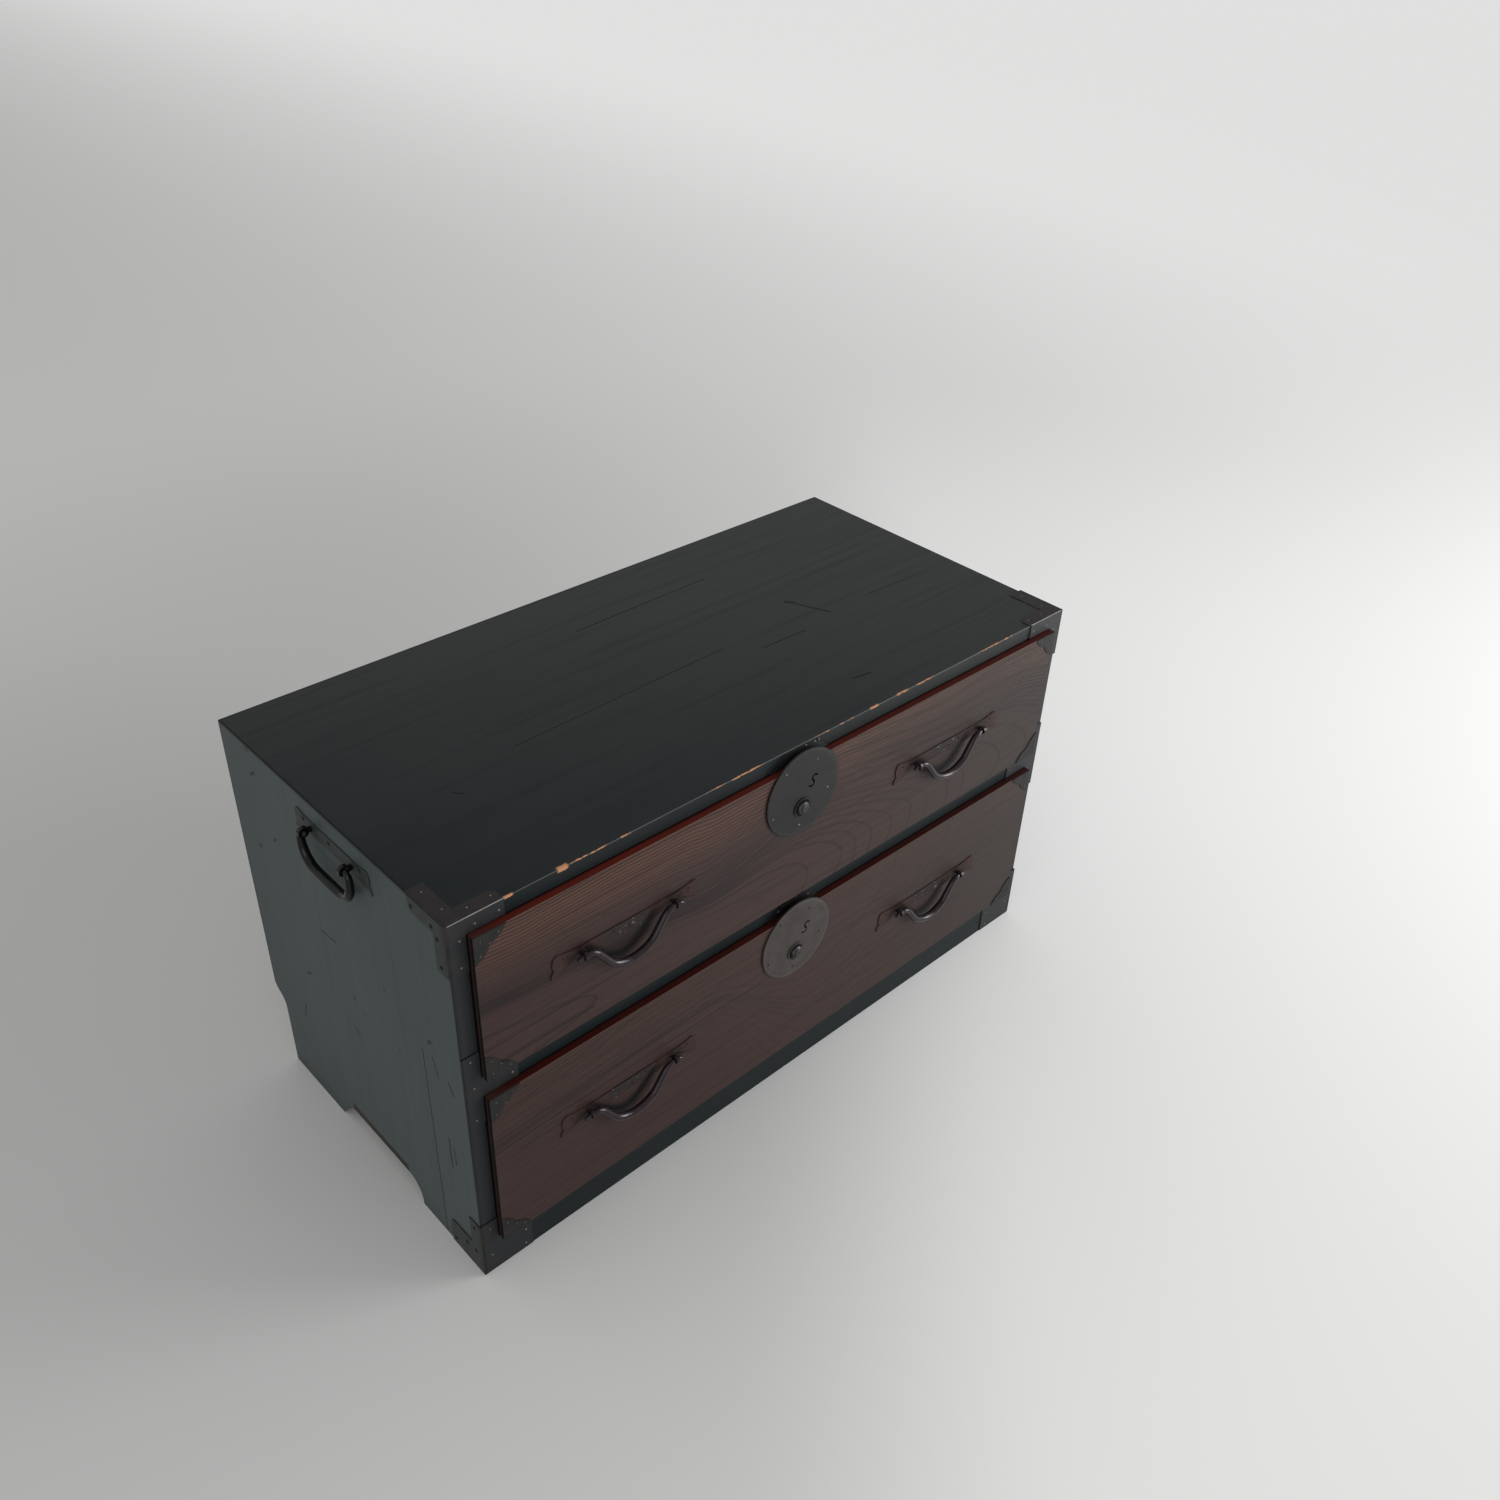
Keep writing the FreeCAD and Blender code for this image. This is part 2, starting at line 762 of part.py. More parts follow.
def lock_bolt(lock):
    """The bolt plate, lowered as when the drawer is free, with a level slot for the crank pin."""
    inner = lock_box_half_width - lock_box_wall
    near = -bolt_setback
    far = near - bolt_thickness
    spring_side = inner - spring_bow - spring_gap
    body = site_box(lock, (-inner + bolt_clearance, -bolt_body_fall, near), (spring_side, bolt_body_rise, far))
    neck_half = bolt_neck_width / 2
    neck = site_box(lock, (-neck_half, bolt_body_rise, near), (neck_half, lock.drop - bolt_recess, far))
    pin_u, pin_v = crank_pin_place()
    half = crank_pin_radius + crank_pin_clearance
    longest = knob_offset + math.hypot(bolt_travel / 2, bolt_travel / 2)
    slot = site_box(lock, (pin_u - half, pin_v - half, near + overrun), (longest + half, pin_v + half, far - overrun))
    return body.fuse(neck).removeSplitter().cut(slot)


def lock_spring(lock):
    """The leaf spring between the box and the edge of the bolt, which holds the bolt where it is put."""
    wall = lock_box_half_width - lock_box_wall
    high = bolt_body_rise
    low = high - spring_length
    middle = (high + low) / 2
    foot = spring_thickness + spring_thickness
    points = [
        (wall, low),
        (wall - spring_bow, middle - foot),
        (wall - spring_bow, middle + foot),
        (wall, high),
        (wall, high - foot),
        (wall - spring_bow + spring_thickness, middle),
        (wall, low + foot),
    ]
    return prism(lock, points[0], polygon_steps(points), -bolt_setback - bolt_thickness, bolt_thickness)


# Handles


def walk(start, heading, moves):
    """Stations along runs and turns. A run is a length; a turn is a radius, an angle and its step count."""
    u, v = start
    travelled = 0.0
    stations = [(u, v, heading, travelled)]
    for move in moves:
        if len(move) == 1:
            u += move[0] * math.cos(heading)
            v += move[0] * math.sin(heading)
            travelled += move[0]
            stations.append((u, v, heading, travelled))
            continue
        radius, turn, count = move
        side = math.copysign(1, turn)
        for index in range(count):
            step = turn / count
            chord = 2 * radius * math.sin(abs(step) / 2)
            u += chord * math.cos(heading + step / 2)
            v += chord * math.sin(heading + step / 2)
            heading += step
            travelled += radius * step * side
            stations.append((u, v, heading, travelled))
    return stations


def bar(site, stations, stand, bow, fall, plain, end_radius, middle_radius):
    """A round bar along its stations: thin for a plain length at each end, then soon thick."""
    length = stations[-1][3] - plain - plain
    rings = []
    for u, v, heading, travelled in stations:
        along = min(max((travelled - plain) / length, 0), 1)
        swell = math.sin(math.pi * along) ** bar_swell_power
        radius = end_radius + (middle_radius - end_radius) * swell
        out_slope = -bow / fall * math.sin(heading)
        tangent = site.across * math.cos(heading) + site.up * math.sin(heading) + site.out * out_slope
        inward = site.up * math.cos(heading) - site.across * math.sin(heading)
        outward = inward.cross(tangent).normalize()
        inward = tangent.cross(outward).normalize()
        centre = site.at(u, v, stand - bow * v / fall)
        rings.append(ring(centre, inward, outward, radius, bar_sides))
    return skin(rings)


def drawer_bail(site):
    """A drop handle: thin ends that curl past the eyes, S-shaped shoulders and a thick round bottom."""
    through = pin_width / 2 + eye_clearance
    half = bail_spacing / 2 - through
    steep = math.radians(bail_shoulder_turn)
    slight = math.radians(bail_bottom_turn)
    run = half - bail_shoulder_radius * math.sin(steep)
    run -= bail_corner_radius * (math.sin(steep) - math.sin(slight))
    fall = bail_fall - bail_shoulder_radius * (1 - math.cos(steep))
    fall -= bail_corner_radius * (math.cos(slight) - math.cos(steep))
    scale = math.cos(steep) - math.cos(steep - slight)
    arm = (run * (1 - math.cos(slight)) - fall * math.sin(slight)) / scale
    bottom = (fall * math.cos(steep) - run * math.sin(steep)) / scale
    tail = math.radians(bail_tail_turn)
    start = (
        -half - through - through - bail_tail_radius * math.sin(tail),
        -bail_tail_radius * (1 - math.cos(tail)),
    )
    moves = [
        (bail_tail_radius, -tail, 2),
        (through + through,),
        (bail_shoulder_radius, -steep, 3),
        (arm,),
        (bail_corner_radius, steep - slight, 1),
        (bottom, slight + slight, 5),
        (bail_corner_radius, steep - slight, 1),
        (arm,),
        (bail_shoulder_radius, -steep, 3),
        (through + through,),
        (bail_tail_radius, -tail, 2),
    ]
    stations = walk(start, tail, moves)
    plain = bail_tail_radius * tail + through + through
    return bar(site, stations, bail_stand, bail_bow, bail_fall, plain, bail_end_radius, bail_middle_radius)


def side_bail(site):
    """A D-shaped carrying handle whose ends turn inwards through the eyes."""
    half = side_bail_width / 2
    quarter = math.pi / 2
    inner_end = side_eye_spacing / 2 - side_bail_tail
    end_run = half - side_bail_shoulder - inner_end
    arm = side_bail_fall - side_bail_shoulder - side_bail_corner
    base = side_bail_width - side_bail_corner - side_bail_corner
    moves = [
        (end_run,),
        (side_bail_shoulder, quarter, 2),
        (arm,),
        (side_bail_corner, quarter, 4),
        (base / 2,),
        (base / 2,),
        (side_bail_corner, quarter, 4),
        (arm,),
        (side_bail_shoulder, quarter, 2),
        (end_run,),
    ]
    stations = walk((-inner_end, 0.0), math.pi, moves)
    plain = end_run + side_bail_shoulder * quarter / 2
    return bar(
        site, stations, side_bail_stand, 0.0, side_bail_fall, plain, side_bail_end_radius,
        side_bail_middle_radius)


def split_pin(site, u, stand, bail_radius, strip, width, leg, depth):
    """An eye bent from one strip, its shank through the wood and its two legs spread behind it."""
    inner = bail_radius + eye_clearance
    near = u - width / 2
    far = u + width / 2
    outer = (inner + strip) / math.cos(math.pi / eye_sides)
    eye = flat_face(ring(site.at(near, 0, stand), site.up, site.out, outer, eye_sides))
    eye = eye.extrude(site.across * width)
    shank = site_box(site, (near, -strip, -depth), (far, strip, stand))
    legs = site_box(site, (near, -leg, -depth - strip), (far, leg, -depth))
    hole = Part.makeCylinder(inner, width, site.at(near, 0, stand), site.across)
    return eye.fuse([shank, legs]).removeSplitter().cut(hole)


def pin_slot(site, u, strip, width, high, depth):
    """The slot for a split pin's shank, from a height over the site down to a depth under it."""
    half = width / 2 + pin_clearance
    rise = strip + pin_clearance
    return site_box(site, (u - half, -rise, -depth), (u + half, rise, high))


def drawer_eye_pins(site):
    """Two eye pins through the drawer front, their legs flat against its back."""
    pins = []
    for u in (-bail_spacing / 2, bail_spacing / 2):
        pins.append(split_pin(
            site, u, bail_stand, bail_end_radius, pin_strip, pin_width, pin_leg, drawer_front_thickness))
    return Part.makeCompound(pins)


def side_eye_pins(site):
    """Two eye pins through the side board, their legs let into its inner face."""
    pins = []
    depth = side_thickness - side_pin_strip - side_pin_recess
    for u in (-side_eye_spacing / 2, side_eye_spacing / 2):
        pins.append(split_pin(
            site, u, side_bail_stand, side_bail_end_radius, side_pin_strip, side_pin_width, side_pin_leg, depth))
    return Part.makeCompound(pins)


def fan_steps(root_u, length, strip_half):
    """A scalloped leaf beyond one eye, from the top of the strip round to its underside."""
    def place(point):
        rise = fan_rise if point[1] > 0 else fan_fall
        return (root_u + length * point[0], rise * point[1])

    steps = [tuple(place(point) for point in pair) for pair in fan_edge_shares]
    start_u = root_u + length * fan_root_share
    steps.append((place(fan_return_share), (start_u, -strip_half)))
    steps.append(((start_u, strip_half),))
    return (start_u, strip_half), steps


def handle_plate(site, spacing, height, length, strip, width):
    """A back plate: a narrow strip between the eyes and a scalloped leaf beyond each."""
    half = spacing / 2
    strip_half = height / 2
    strip_end = half + length * fan_root_share
    plate = site_box(site, (-strip_end, -strip_half, 0), (strip_end, strip_half, handle_plate_thickness))
    start, steps = fan_steps(half, length, strip_half)
    leaf = prism(site, start, steps, 0.0, handle_plate_thickness)
    other = leaf.mirror(site.origin, site.across)
    plate = plate.fuse([leaf, other]).removeSplitter()
    slots = [pin_slot(site, u, strip, width, handle_plate_thickness, 0.0) for u in (-half, half)]
    return plate.cut(slots)


# The whole chest

upper_drawer = Drawer(upper_floor_z, ceiling_z, upper_lock_offset, upper_lock_drop)
lower_drawer = Drawer(lower_floor_z, mid_rail_bottom_z, lower_lock_offset, lower_lock_drop)
side_handle = Site(
    Vector(-half_width, middle_y - side_handle_forward, case_height - side_handle_drop),
    across_y, up_z, -across_x,
)


def case_nodes():
    """The fixed wood and iron of the case."""
    nodes = {
        "top_board": top_board(),
        "left_side_board": side_board(),
        "right_side_board": mirrored(side_board()),
        "bottom_board": bottom_board(),
        "divider_panel": divider_panel(groove_end_gap),
        "back_boards": back_boards(),
        "mid_rail": rail(mid_rail_bottom_z, upper_floor_z, 0.0).cut(bolt_mortise(lower_drawer.lock)),
        "base_rail": rail(0.0, base_rail_height, 0.0),
        "upper_strike_plate": strike_plate(upper_drawer.lock, top_thickness),
        "lower_strike_plate": strike_plate(lower_drawer.lock, mid_rail_height),
    }
    brackets = {"top": top_corner_bracket(), "mid": mid_bracket(), "foot": foot_bracket()}
    for level, bracket in brackets.items():
        nodes["left_" + level + "_bracket"] = bracket
        nodes["right_" + level + "_bracket"] = mirrored(bracket)
    return nodes


def side_handle_nodes():
    """Both carrying handles."""
    plate = handle_plate(
        side_handle, side_eye_spacing, side_strip_height, side_fan_length, side_pin_strip, side_pin_width)
    pieces = {"plate": plate, "eye_pins": side_eye_pins(side_handle), "bail": side_bail(side_handle)}
    nodes = {}
    for name, piece in pieces.items():
        nodes["left_carrying_handle_" + name] = piece
        nodes["right_carrying_handle_" + name] = mirrored(piece)
    return nodes


def drawer_nodes(prefix, drawer):
    """One drawer with its lock and its two handles."""
    lock = drawer.lock
    nodes = {
        "front": drawer.front(),
        "left_side": drawer.side(),
        "right_side": mirrored(drawer.side()),
        "back": drawer.back(),
        "bottom": drawer.bottom(),
        "corner_plates": drawer.corner_plates(),
        "lock_plate": lock_plate(lock),
        "lock_box": lock_box(lock),
        "lock_bolt": lock_bolt(lock),
        "lock_knob": lock_knob(lock),
        "lock_spring": lock_spring(lock),
    }
    for side, site in zip(("left", "right"), drawer.handles()):
        nodes[side + "_handle_plate"] = handle_plate(
            site, bail_spacing, strip_height, fan_length, pin_strip, pin_width)
        nodes[side + "_handle_eye_pins"] = drawer_eye_pins(site)
        nodes[side + "_handle_bail"] = drawer_bail(site)
    return {prefix + name: shape for name, shape in nodes.items()}


def main():
    """Write one STEP file for each sub-part."""
    os.makedirs("parts", exist_ok=True)
    nodes = case_nodes()
    nodes.update(side_handle_nodes())
    nodes.update(drawer_nodes("upper_drawer_", upper_drawer))
    nodes.update(drawer_nodes("lower_drawer_", lower_drawer))
    for name, shape in nodes.items():
        shape.exportStep("parts/" + name + ".step")


main()
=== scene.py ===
import json
import math

import bpy
from bpy.props import FloatProperty, FloatVectorProperty, IntProperty, PointerProperty
from mathutils import Matrix, Vector


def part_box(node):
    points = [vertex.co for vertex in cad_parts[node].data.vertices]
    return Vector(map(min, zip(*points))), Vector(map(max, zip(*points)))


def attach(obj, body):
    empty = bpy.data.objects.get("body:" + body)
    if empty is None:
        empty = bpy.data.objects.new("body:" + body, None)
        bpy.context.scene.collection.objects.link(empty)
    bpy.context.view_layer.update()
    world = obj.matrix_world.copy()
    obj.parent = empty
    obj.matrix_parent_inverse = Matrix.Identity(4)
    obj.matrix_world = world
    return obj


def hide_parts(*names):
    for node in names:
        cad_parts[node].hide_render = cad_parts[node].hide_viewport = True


bl_info = {
    "name": "Tansu Chest",
    "version": (1, 0, 0),
    "blender": (4, 5, 0),
    "location": "3D View > Sidebar > Tansu",
    "description": "Lacquer, grain, forged iron, nails and handles for the packed tansu chest",
    "category": "Add Mesh",
}

# Everything is in metres. X runs along the front, -Y is the front, +Z is up.
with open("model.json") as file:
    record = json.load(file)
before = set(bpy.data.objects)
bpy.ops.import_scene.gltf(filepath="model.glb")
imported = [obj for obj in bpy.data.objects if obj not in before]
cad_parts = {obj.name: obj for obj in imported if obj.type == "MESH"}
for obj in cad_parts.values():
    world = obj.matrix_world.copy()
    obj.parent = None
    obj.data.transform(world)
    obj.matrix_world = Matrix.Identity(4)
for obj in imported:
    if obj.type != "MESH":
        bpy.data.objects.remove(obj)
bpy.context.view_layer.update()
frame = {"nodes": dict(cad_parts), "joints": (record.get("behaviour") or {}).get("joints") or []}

LEVELS = ("upper", "lower")
SIDES = {"left": -1, "right": 1}

# Places that the frame gives
case_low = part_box("left_side_board")[0]
case_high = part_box("right_side_board")[1]
case_front = case_low.y
case_back = case_high.y
case_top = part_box("top_board")[1].z
face_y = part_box("upper_drawer_front")[0].y
iron_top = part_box("left_top_bracket")[1].z
moving = [joint for joint in frame["joints"] if "pos_m" in joint]
axes = {joint["name"]: joint["pos_m"] for joint in moving}
knob_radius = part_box("upper_drawer_lock_knob")[1].z - axes["upper_lock_knob_turn"][2]


def shown(red, green, blue):
    """A colour as a screen shows it, from 0 to 255, as the linear colour that a shader takes."""
    channels = []
    for value in (red, green, blue):
        share = value / 255
        channels.append(share / 12.92 if share <= 0.04045 else ((share + 0.055) / 1.055) ** 2.4)
    return (*channels, 1.0)


def colour(label, red, green, blue):
    """A colour that a user may change."""
    default = shown(red, green, blue)
    return FloatVectorProperty(name=label, subtype="COLOR", size=4, min=0, max=1, default=default)


def length(label, default):
    """A size that a user may change."""
    return FloatProperty(name=label, unit="LENGTH", min=0, default=default)


def light(label, default):
    """A light's strength that a user may change."""
    return FloatProperty(name=label, min=0, default=default)


class TansuFinish(bpy.types.PropertyGroup):
    """Colours of the woods and of the iron."""

    top_lacquer: colour("Blue-black lacquer of the top", 10, 19, 23)
    # Painted sheen: the top is coated lighter towards the back and the right, where it reflects the bright
    # room; the same colour gives its pale patches
    top_sheen_and_patches: colour("Faded lacquer at the back and the right of the top", 42, 44, 44)
    side_lacquer: colour("Grey-green lacquer of the sides", 60, 70, 70)
    post_lacquer: colour("Blue-grey lacquer on the sides' front edges", 16, 21, 25)
    rail_lacquer: colour("Dark lacquer of the front rails", 17, 24, 26)
    # Painted highlight along the top's front arris
    arris_highlight: colour("Pale line where an edge is rubbed", 150, 152, 150)
    bare_wood: colour("Wood where the lacquer is worn through", 176, 126, 92)
    keyaki: colour("Lacquered wood of the drawer fronts", 54, 36, 33)
    # Also the painted highlight along the drawer fronts' top arris
    keyaki_warm: colour("Warm bands of the drawer fronts", 88, 58, 46)
    # Also the painted shade and shadows on the drawer fronts and their handle plates
    keyaki_dark: colour("Dark rings of the drawer fronts", 18, 11, 11)
    keyaki_olive: colour("Greener wood at the right of the drawer fronts", 34, 31, 25)
    edge_red: colour("Red lacquer on the drawer fronts' edges", 84, 24, 13)
    cedar: colour("Darkened cedar inside the case", 84, 66, 50)
    paulownia: colour("Bare paulownia of the drawer boxes", 164, 136, 104)
    front_iron: colour("Sheet iron on the front edges", 26, 30, 34)
    top_iron: colour("Brown-black sheet iron on the top", 24, 19, 19)
    side_iron: colour("Grey-green sheet iron on the sides", 46, 52, 52)
    corner_iron: colour("Lacquered corner plates of the drawers", 26, 27, 28)
    worn_iron: colour("Iron rubbed bright on the edges", 150, 146, 142)
    upper_lock: colour("Even grey iron of the upper lock plate", 42, 43, 42)
    lower_lock: colour("Mottled grey iron of the lower lock plate", 77, 72, 70)
    bar_iron: colour("Burnished iron of the drawer handles", 36, 27, 31)
    carrying_iron: colour("Black iron of the carrying handles", 12, 12, 13)
    works_iron: colour("Black iron of the bolts and lock boxes", 56, 53, 54)
    knob_iron: colour("Rubbed iron of the lock knobs", 66, 63, 64)
    nail_iron: colour("Rubbed nails in front and on the top", 128, 125, 121)


class TansuSizes(bpy.types.PropertyGroup):
    """Sizes of the pieces that are modelled here."""

    nail_radius: length("Radius of a nail's head", 0.0009)
    side_nail: length("Radius of a nail's head on the sides", 0.0019)
    nail_height: length("How far a nail's head stands off", 0.0008)
    bail_spacing: length("Between the eyes of a drawer handle", 0.117)
    bail_fall: length("Fall of a drawer handle's bar", 0.038)
    bail_bow: length("How far a drawer handle's bar leans out", 0.0008)
    bail_middle: length("Radius of a drawer handle's bar", 0.0046)
    bail_end: length("Radius at the ends of a drawer handle", 0.0024)
    side_width: length("Between the arms of a carrying handle", 0.094)
    side_fall: length("Fall of a carrying handle's bar", 0.0395)
    side_middle: length("Radius of a carrying handle's bar", 0.0055)
    side_end: length("Radius at the ends of a carrying handle", 0.0032)
    bar_sides: IntProperty(name="Sides of a bar before smoothing", min=6, default=10)


class TansuStage(bpy.types.PropertyGroup):
    """Camera, floor and light."""

    camera_place: FloatVectorProperty(
        name="Camera place", subtype="TRANSLATION", default=(-0.895545, -1.031576, 1.324848))
    camera_turn: FloatVectorProperty(
        name="Camera turn", subtype="EULER",
        default=(math.radians(55.3228), math.radians(-1.99077), math.radians(-43.11018)))
    lens: FloatProperty(name="Focal length on a 36 mm sensor", default=33.2416)
    floor: colour("Plain pale floor", 214, 214, 213)
    sky: light("Even light from all round", 0.62)
    key: light("Soft light from the right, in watts", 54)
    fill: light("Soft light from the left, in watts", 22)
    low: light("Light close to the floor in front, in watts", 14)


def sum_of(operation, swapped=False):
    """A method that adds a Math node for one sign of a Python sum."""

    def method(value, other):
        first, second = (other, value) if swapped else (value, other)
        return value.graph.node("ShaderNodeMath", {"operation": operation}, {0: first, 1: second})

    return method


class Value:
    """A socket that takes part in Python sums. Each sum adds a Math node."""

    __add__ = sum_of("ADD")
    __radd__ = sum_of("ADD", swapped=True)
    __sub__ = sum_of("SUBTRACT")
    __rsub__ = sum_of("SUBTRACT", swapped=True)
    __mul__ = sum_of("MULTIPLY")
    __rmul__ = sum_of("MULTIPLY", swapped=True)
    __truediv__ = sum_of("DIVIDE")

    def __init__(self, graph, socket):
        self.graph = graph
        self.socket = socket

    def __abs__(self):
        return self.math("ABSOLUTE")

    def math(self, operation, *others):
        terms = dict(enumerate((self, *others)))
        return self.graph.node("ShaderNodeMath", {"operation": operation}, terms)

    def band(self, low, high):
        """0 below low, 1 above high, smooth between."""
        return self.graph.node("ShaderNodeMapRange", {"interpolation_type": "SMOOTHSTEP"}, {
            "Value": self, "From Min": low, "From Max": high})

    def fade(self, low, high):
        """1 below low, 0 above high, smooth between."""
        return 1 - self.band(low, high)

    def clamped(self):
        """The value kept between 0 and 1."""
        return self.graph.node("ShaderNodeClamp", None, {0: self})


class Graph:
    """The node tree of one material and the colour laid out so far."""

    def __init__(self, name, first_colour):
        self.colour = first_colour
        self.material = bpy.data.materials.new(name)
        self.material.use_nodes = True
        self.tree = self.material.node_tree
        self.tree.nodes.clear()
        self.coordinates = self.node("ShaderNodeTexCoord", output="Object")
        self.x = self.node("ShaderNodeSeparateXYZ", inputs={0: self.coordinates}, output="X")
        self.y = Value(self, self.x.socket.node.outputs["Y"])
        self.z = Value(self, self.x.socket.node.outputs["Z"])

    def node(self, kind, settings=None, inputs=None, output=0):
        """Add a node: its settings, the values or links of its sockets, and the output to go on with."""
        made = self.tree.nodes.new(kind)
        for name, value in (settings or {}).items():
            setattr(made, name, value)
        for key, value in (inputs or {}).items():
            if isinstance(value, Value):
                self.tree.links.new(value.socket, made.inputs[key])
            else:
                made.inputs[key].default_value = value
        return None if output is None else Value(self, made.outputs[output])

    def stretched(self, scale):
        """Object coordinates times a scale for each axis."""
        return self.node("ShaderNodeVectorMath", {"operation": "MULTIPLY"}, {0: self.coordinates, 1: scale})

    def noise(self, scale, detail=3.0, roughness=0.5, distortion=0.0):
        """Noise from 0 to 1, with a scale per metre, one for all axes or one for each."""
        scale = scale if isinstance(scale, tuple) else (scale, scale, scale)
        return self.node("ShaderNodeTexNoise", None, {
            "Vector": self.stretched(scale), "Scale": 1.0, "Detail": detail, "Roughness": roughness,
            "Distortion": distortion})

    def blend(self, share, first, second):
        """A colour between two, by a share."""
        return self.node("ShaderNodeMix", {"data_type": "RGBA"}, {0: share, 6: first, 7: second}, output=2)

    def coat(self, share, colour, tint=None):
        """Lay a colour, made lighter or darker by a tint, over what is there by a share."""
        self.colour = self.blend(share, self.colour, tinted(colour, tint) if tint else colour)

    def distance(self, across, along):
        """How far a place is from the middle, by its two offsets."""
        return (across * across + along * along).math("SQRT")

    def stroke(self, across, along, start, end, width):
        """1 along a straight scratch between two places, fading to 0 at its width."""
        run = (end[0] - start[0], end[1] - start[1])
        reach = run[0] ** 2 + run[1] ** 2
        share = ((across - start[0]) * (run[0] / reach) + (along - start[1]) * (run[1] / reach)).clamped()
        off_across = across - start[0] - share * run[0]
        off_along = along - start[1] - share * run[1]
        return self.distance(off_across, off_along).fade(0.0, width)

    def strokes(self, across, along, marks, total=0.0):
        """All the scratches of one list, each a start, an end and a width, over what is there."""
        for start, end, width in marks:
            total = self.stroke(across, along, start, end, width) + total
        return total

    def bump(self, height, strength, distance):
        """A normal from a height."""
        return self.node("ShaderNodeBump", None, {
            "Height": height, "Strength": strength, "Distance": distance})

    def shade(self, **sockets):
        """Finish with a Principled shader over the colour. A name's underscores stand for spaces."""
        inputs = {name.replace("_", " "): value for name, value in sockets.items()}
        shader = self.node("ShaderNodeBsdfPrincipled", None, {"Base Color": self.colour, **inputs})
        self.node("ShaderNodeOutputMaterial", None, {"Surface": shader}, output=None)
        return self.material


# Finishes of the wood


def tinted(base, share):
    """A colour made lighter or darker."""
    return (*(value * share for value in base[:3]), 1.0)


def top_lacquer(finish):
    """Blue-black lacquer over level grain, with dents, a dry joint, a front edge worn bare, painted sheen, a
    painted highlight on the front arris and painted shadow by the right bracket.
    """
    lacquer = finish.top_lacquer
    graph = Graph("top_lacquer", lacquer)
    x, y = graph.x, graph.y - case_front
    streaks = graph.noise((3, 90, 90), detail=5, roughness=0.6)
    fine = graph.noise((14, 620, 620), detail=2)
    patches = graph.noise((2.2, 4.5, 4.5), detail=4, roughness=0.55)
    marks = graph.strokes(x, y, TOP_MARKS)
    worn = worn_edge(graph)
    # Painted sheen, lighter towards the back and the right
    painted_sheen = (x - case_low.x + y * 1.3).band(0.0, 1.05)
    graph.coat(painted_sheen, finish.top_sheen_and_patches)
    graph.coat(patches.band(0.3, 0.7) * 0.35, finish.top_sheen_and_patches, 1.15)
    graph.coat(streaks.band(0.5, 0.78) * 0.4, lacquer, 0.7)
    # The marks darken the lacquer: dents, the dry joint and knocks, and the painted shadow beside the right
    # bracket
    graph.coat((marks * 1.1).clamped(), lacquer, 0.2)
    # Painted highlight: a thin pale line along the front arris
    arris = (y + (case_top - graph.z)).fade(0.0005, 0.0012)
    graph.coat(arris * (0.25 + patches * 0.5), finish.arris_highlight)
    graph.coat(worn, finish.bare_wood)
    edge = (case_high.x - abs(x)).fade(0.0014, 0.0034)
    edge = edge + (case_back - graph.y).fade(0.001, 0.0045)
    graph.coat(edge.clamped() * 0.9, lacquer, 0.2)
    height = streaks * 0.5 + fine * 0.25 - marks - worn
    return graph.shade(
        Roughness=0.36 + streaks * 0.12 + patches * 0.1 + worn * 0.3,
        Normal=graph.bump(height, 0.35, 0.0006), Specular_IOR_Level=0.14)


# Lines of the top, as start, end and width, from the middle and the front edge: first the painted shadow
# along the right bracket's inner edges, then the dry joint, the long dent and small knocks
TOP_MARKS = (
    ((0.431, 0.062), (0.4318, 0.0215), 0.003),
    ((0.3862, 0.015), (0.385, 0.0), 0.002),
    ((-0.045, 0.341), (0.16, 0.345), 0.0022),
    ((-0.24, 0.191), (0.06, 0.2), 0.0016),
    ((0.198, 0.234), (0.204, 0.226), 0.006),
    ((0.205, 0.22), (0.222, 0.182), 0.003),
    ((0.29, 0.184), (0.4, 0.178), 0.0014),
    ((0.1, 0.171), (0.165, 0.169), 0.002),
    ((0.13, 0.056), (0.155, 0.052), 0.003),
    ((-0.335, 0.164), (-0.328, 0.156), 0.0022),
)

# Bare places along the top's front edge: the middle's x, half the length, and how far it reaches in
EDGE_WEAR = (
    (-0.382, 0.005, 0.0022),
    (-0.321, 0.006, 0.0042),
    (-0.29, 0.02, 0.0012),
    (-0.246, 0.007, 0.0013),
    (-0.13, 0.012, 0.001),
    (-0.085, 0.022, 0.0013),
    (0.024, 0.01, 0.001),
    (0.062, 0.01, 0.0011),
    (0.106, 0.007, 0.0021),
    (0.154, 0.01, 0.0019),
    (0.192, 0.014, 0.0012),
    (0.322, 0.03, 0.0012),
)


def worn_edge(graph):
    """Where the front edge of the top is worn to bare wood: long spots and a thin broken line."""
    ragged = graph.noise((160, 420, 420), detail=4, roughness=0.7)
    inward = graph.y - case_front + (case_top - graph.z)
    worn = 0.0
    for middle, half, reach in EDGE_WEAR:
        off = abs(graph.x - middle)
        along = off.fade(half * 0.7, half * 1.25)
        across = (inward - ragged * 0.003 + 0.0015).fade(reach * 0.75, reach)
        worn = along * across + worn
    broken = graph.noise((90, 60, 60), detail=3).band(0.38, 0.46)
    sparse = graph.noise((26, 40, 40), detail=3).band(0.52, 0.6)
    line = inward.fade(0.0003, 0.0009) * sparse * 0.6
    return (worn * (0.25 + broken * 0.75) + line).clamped()


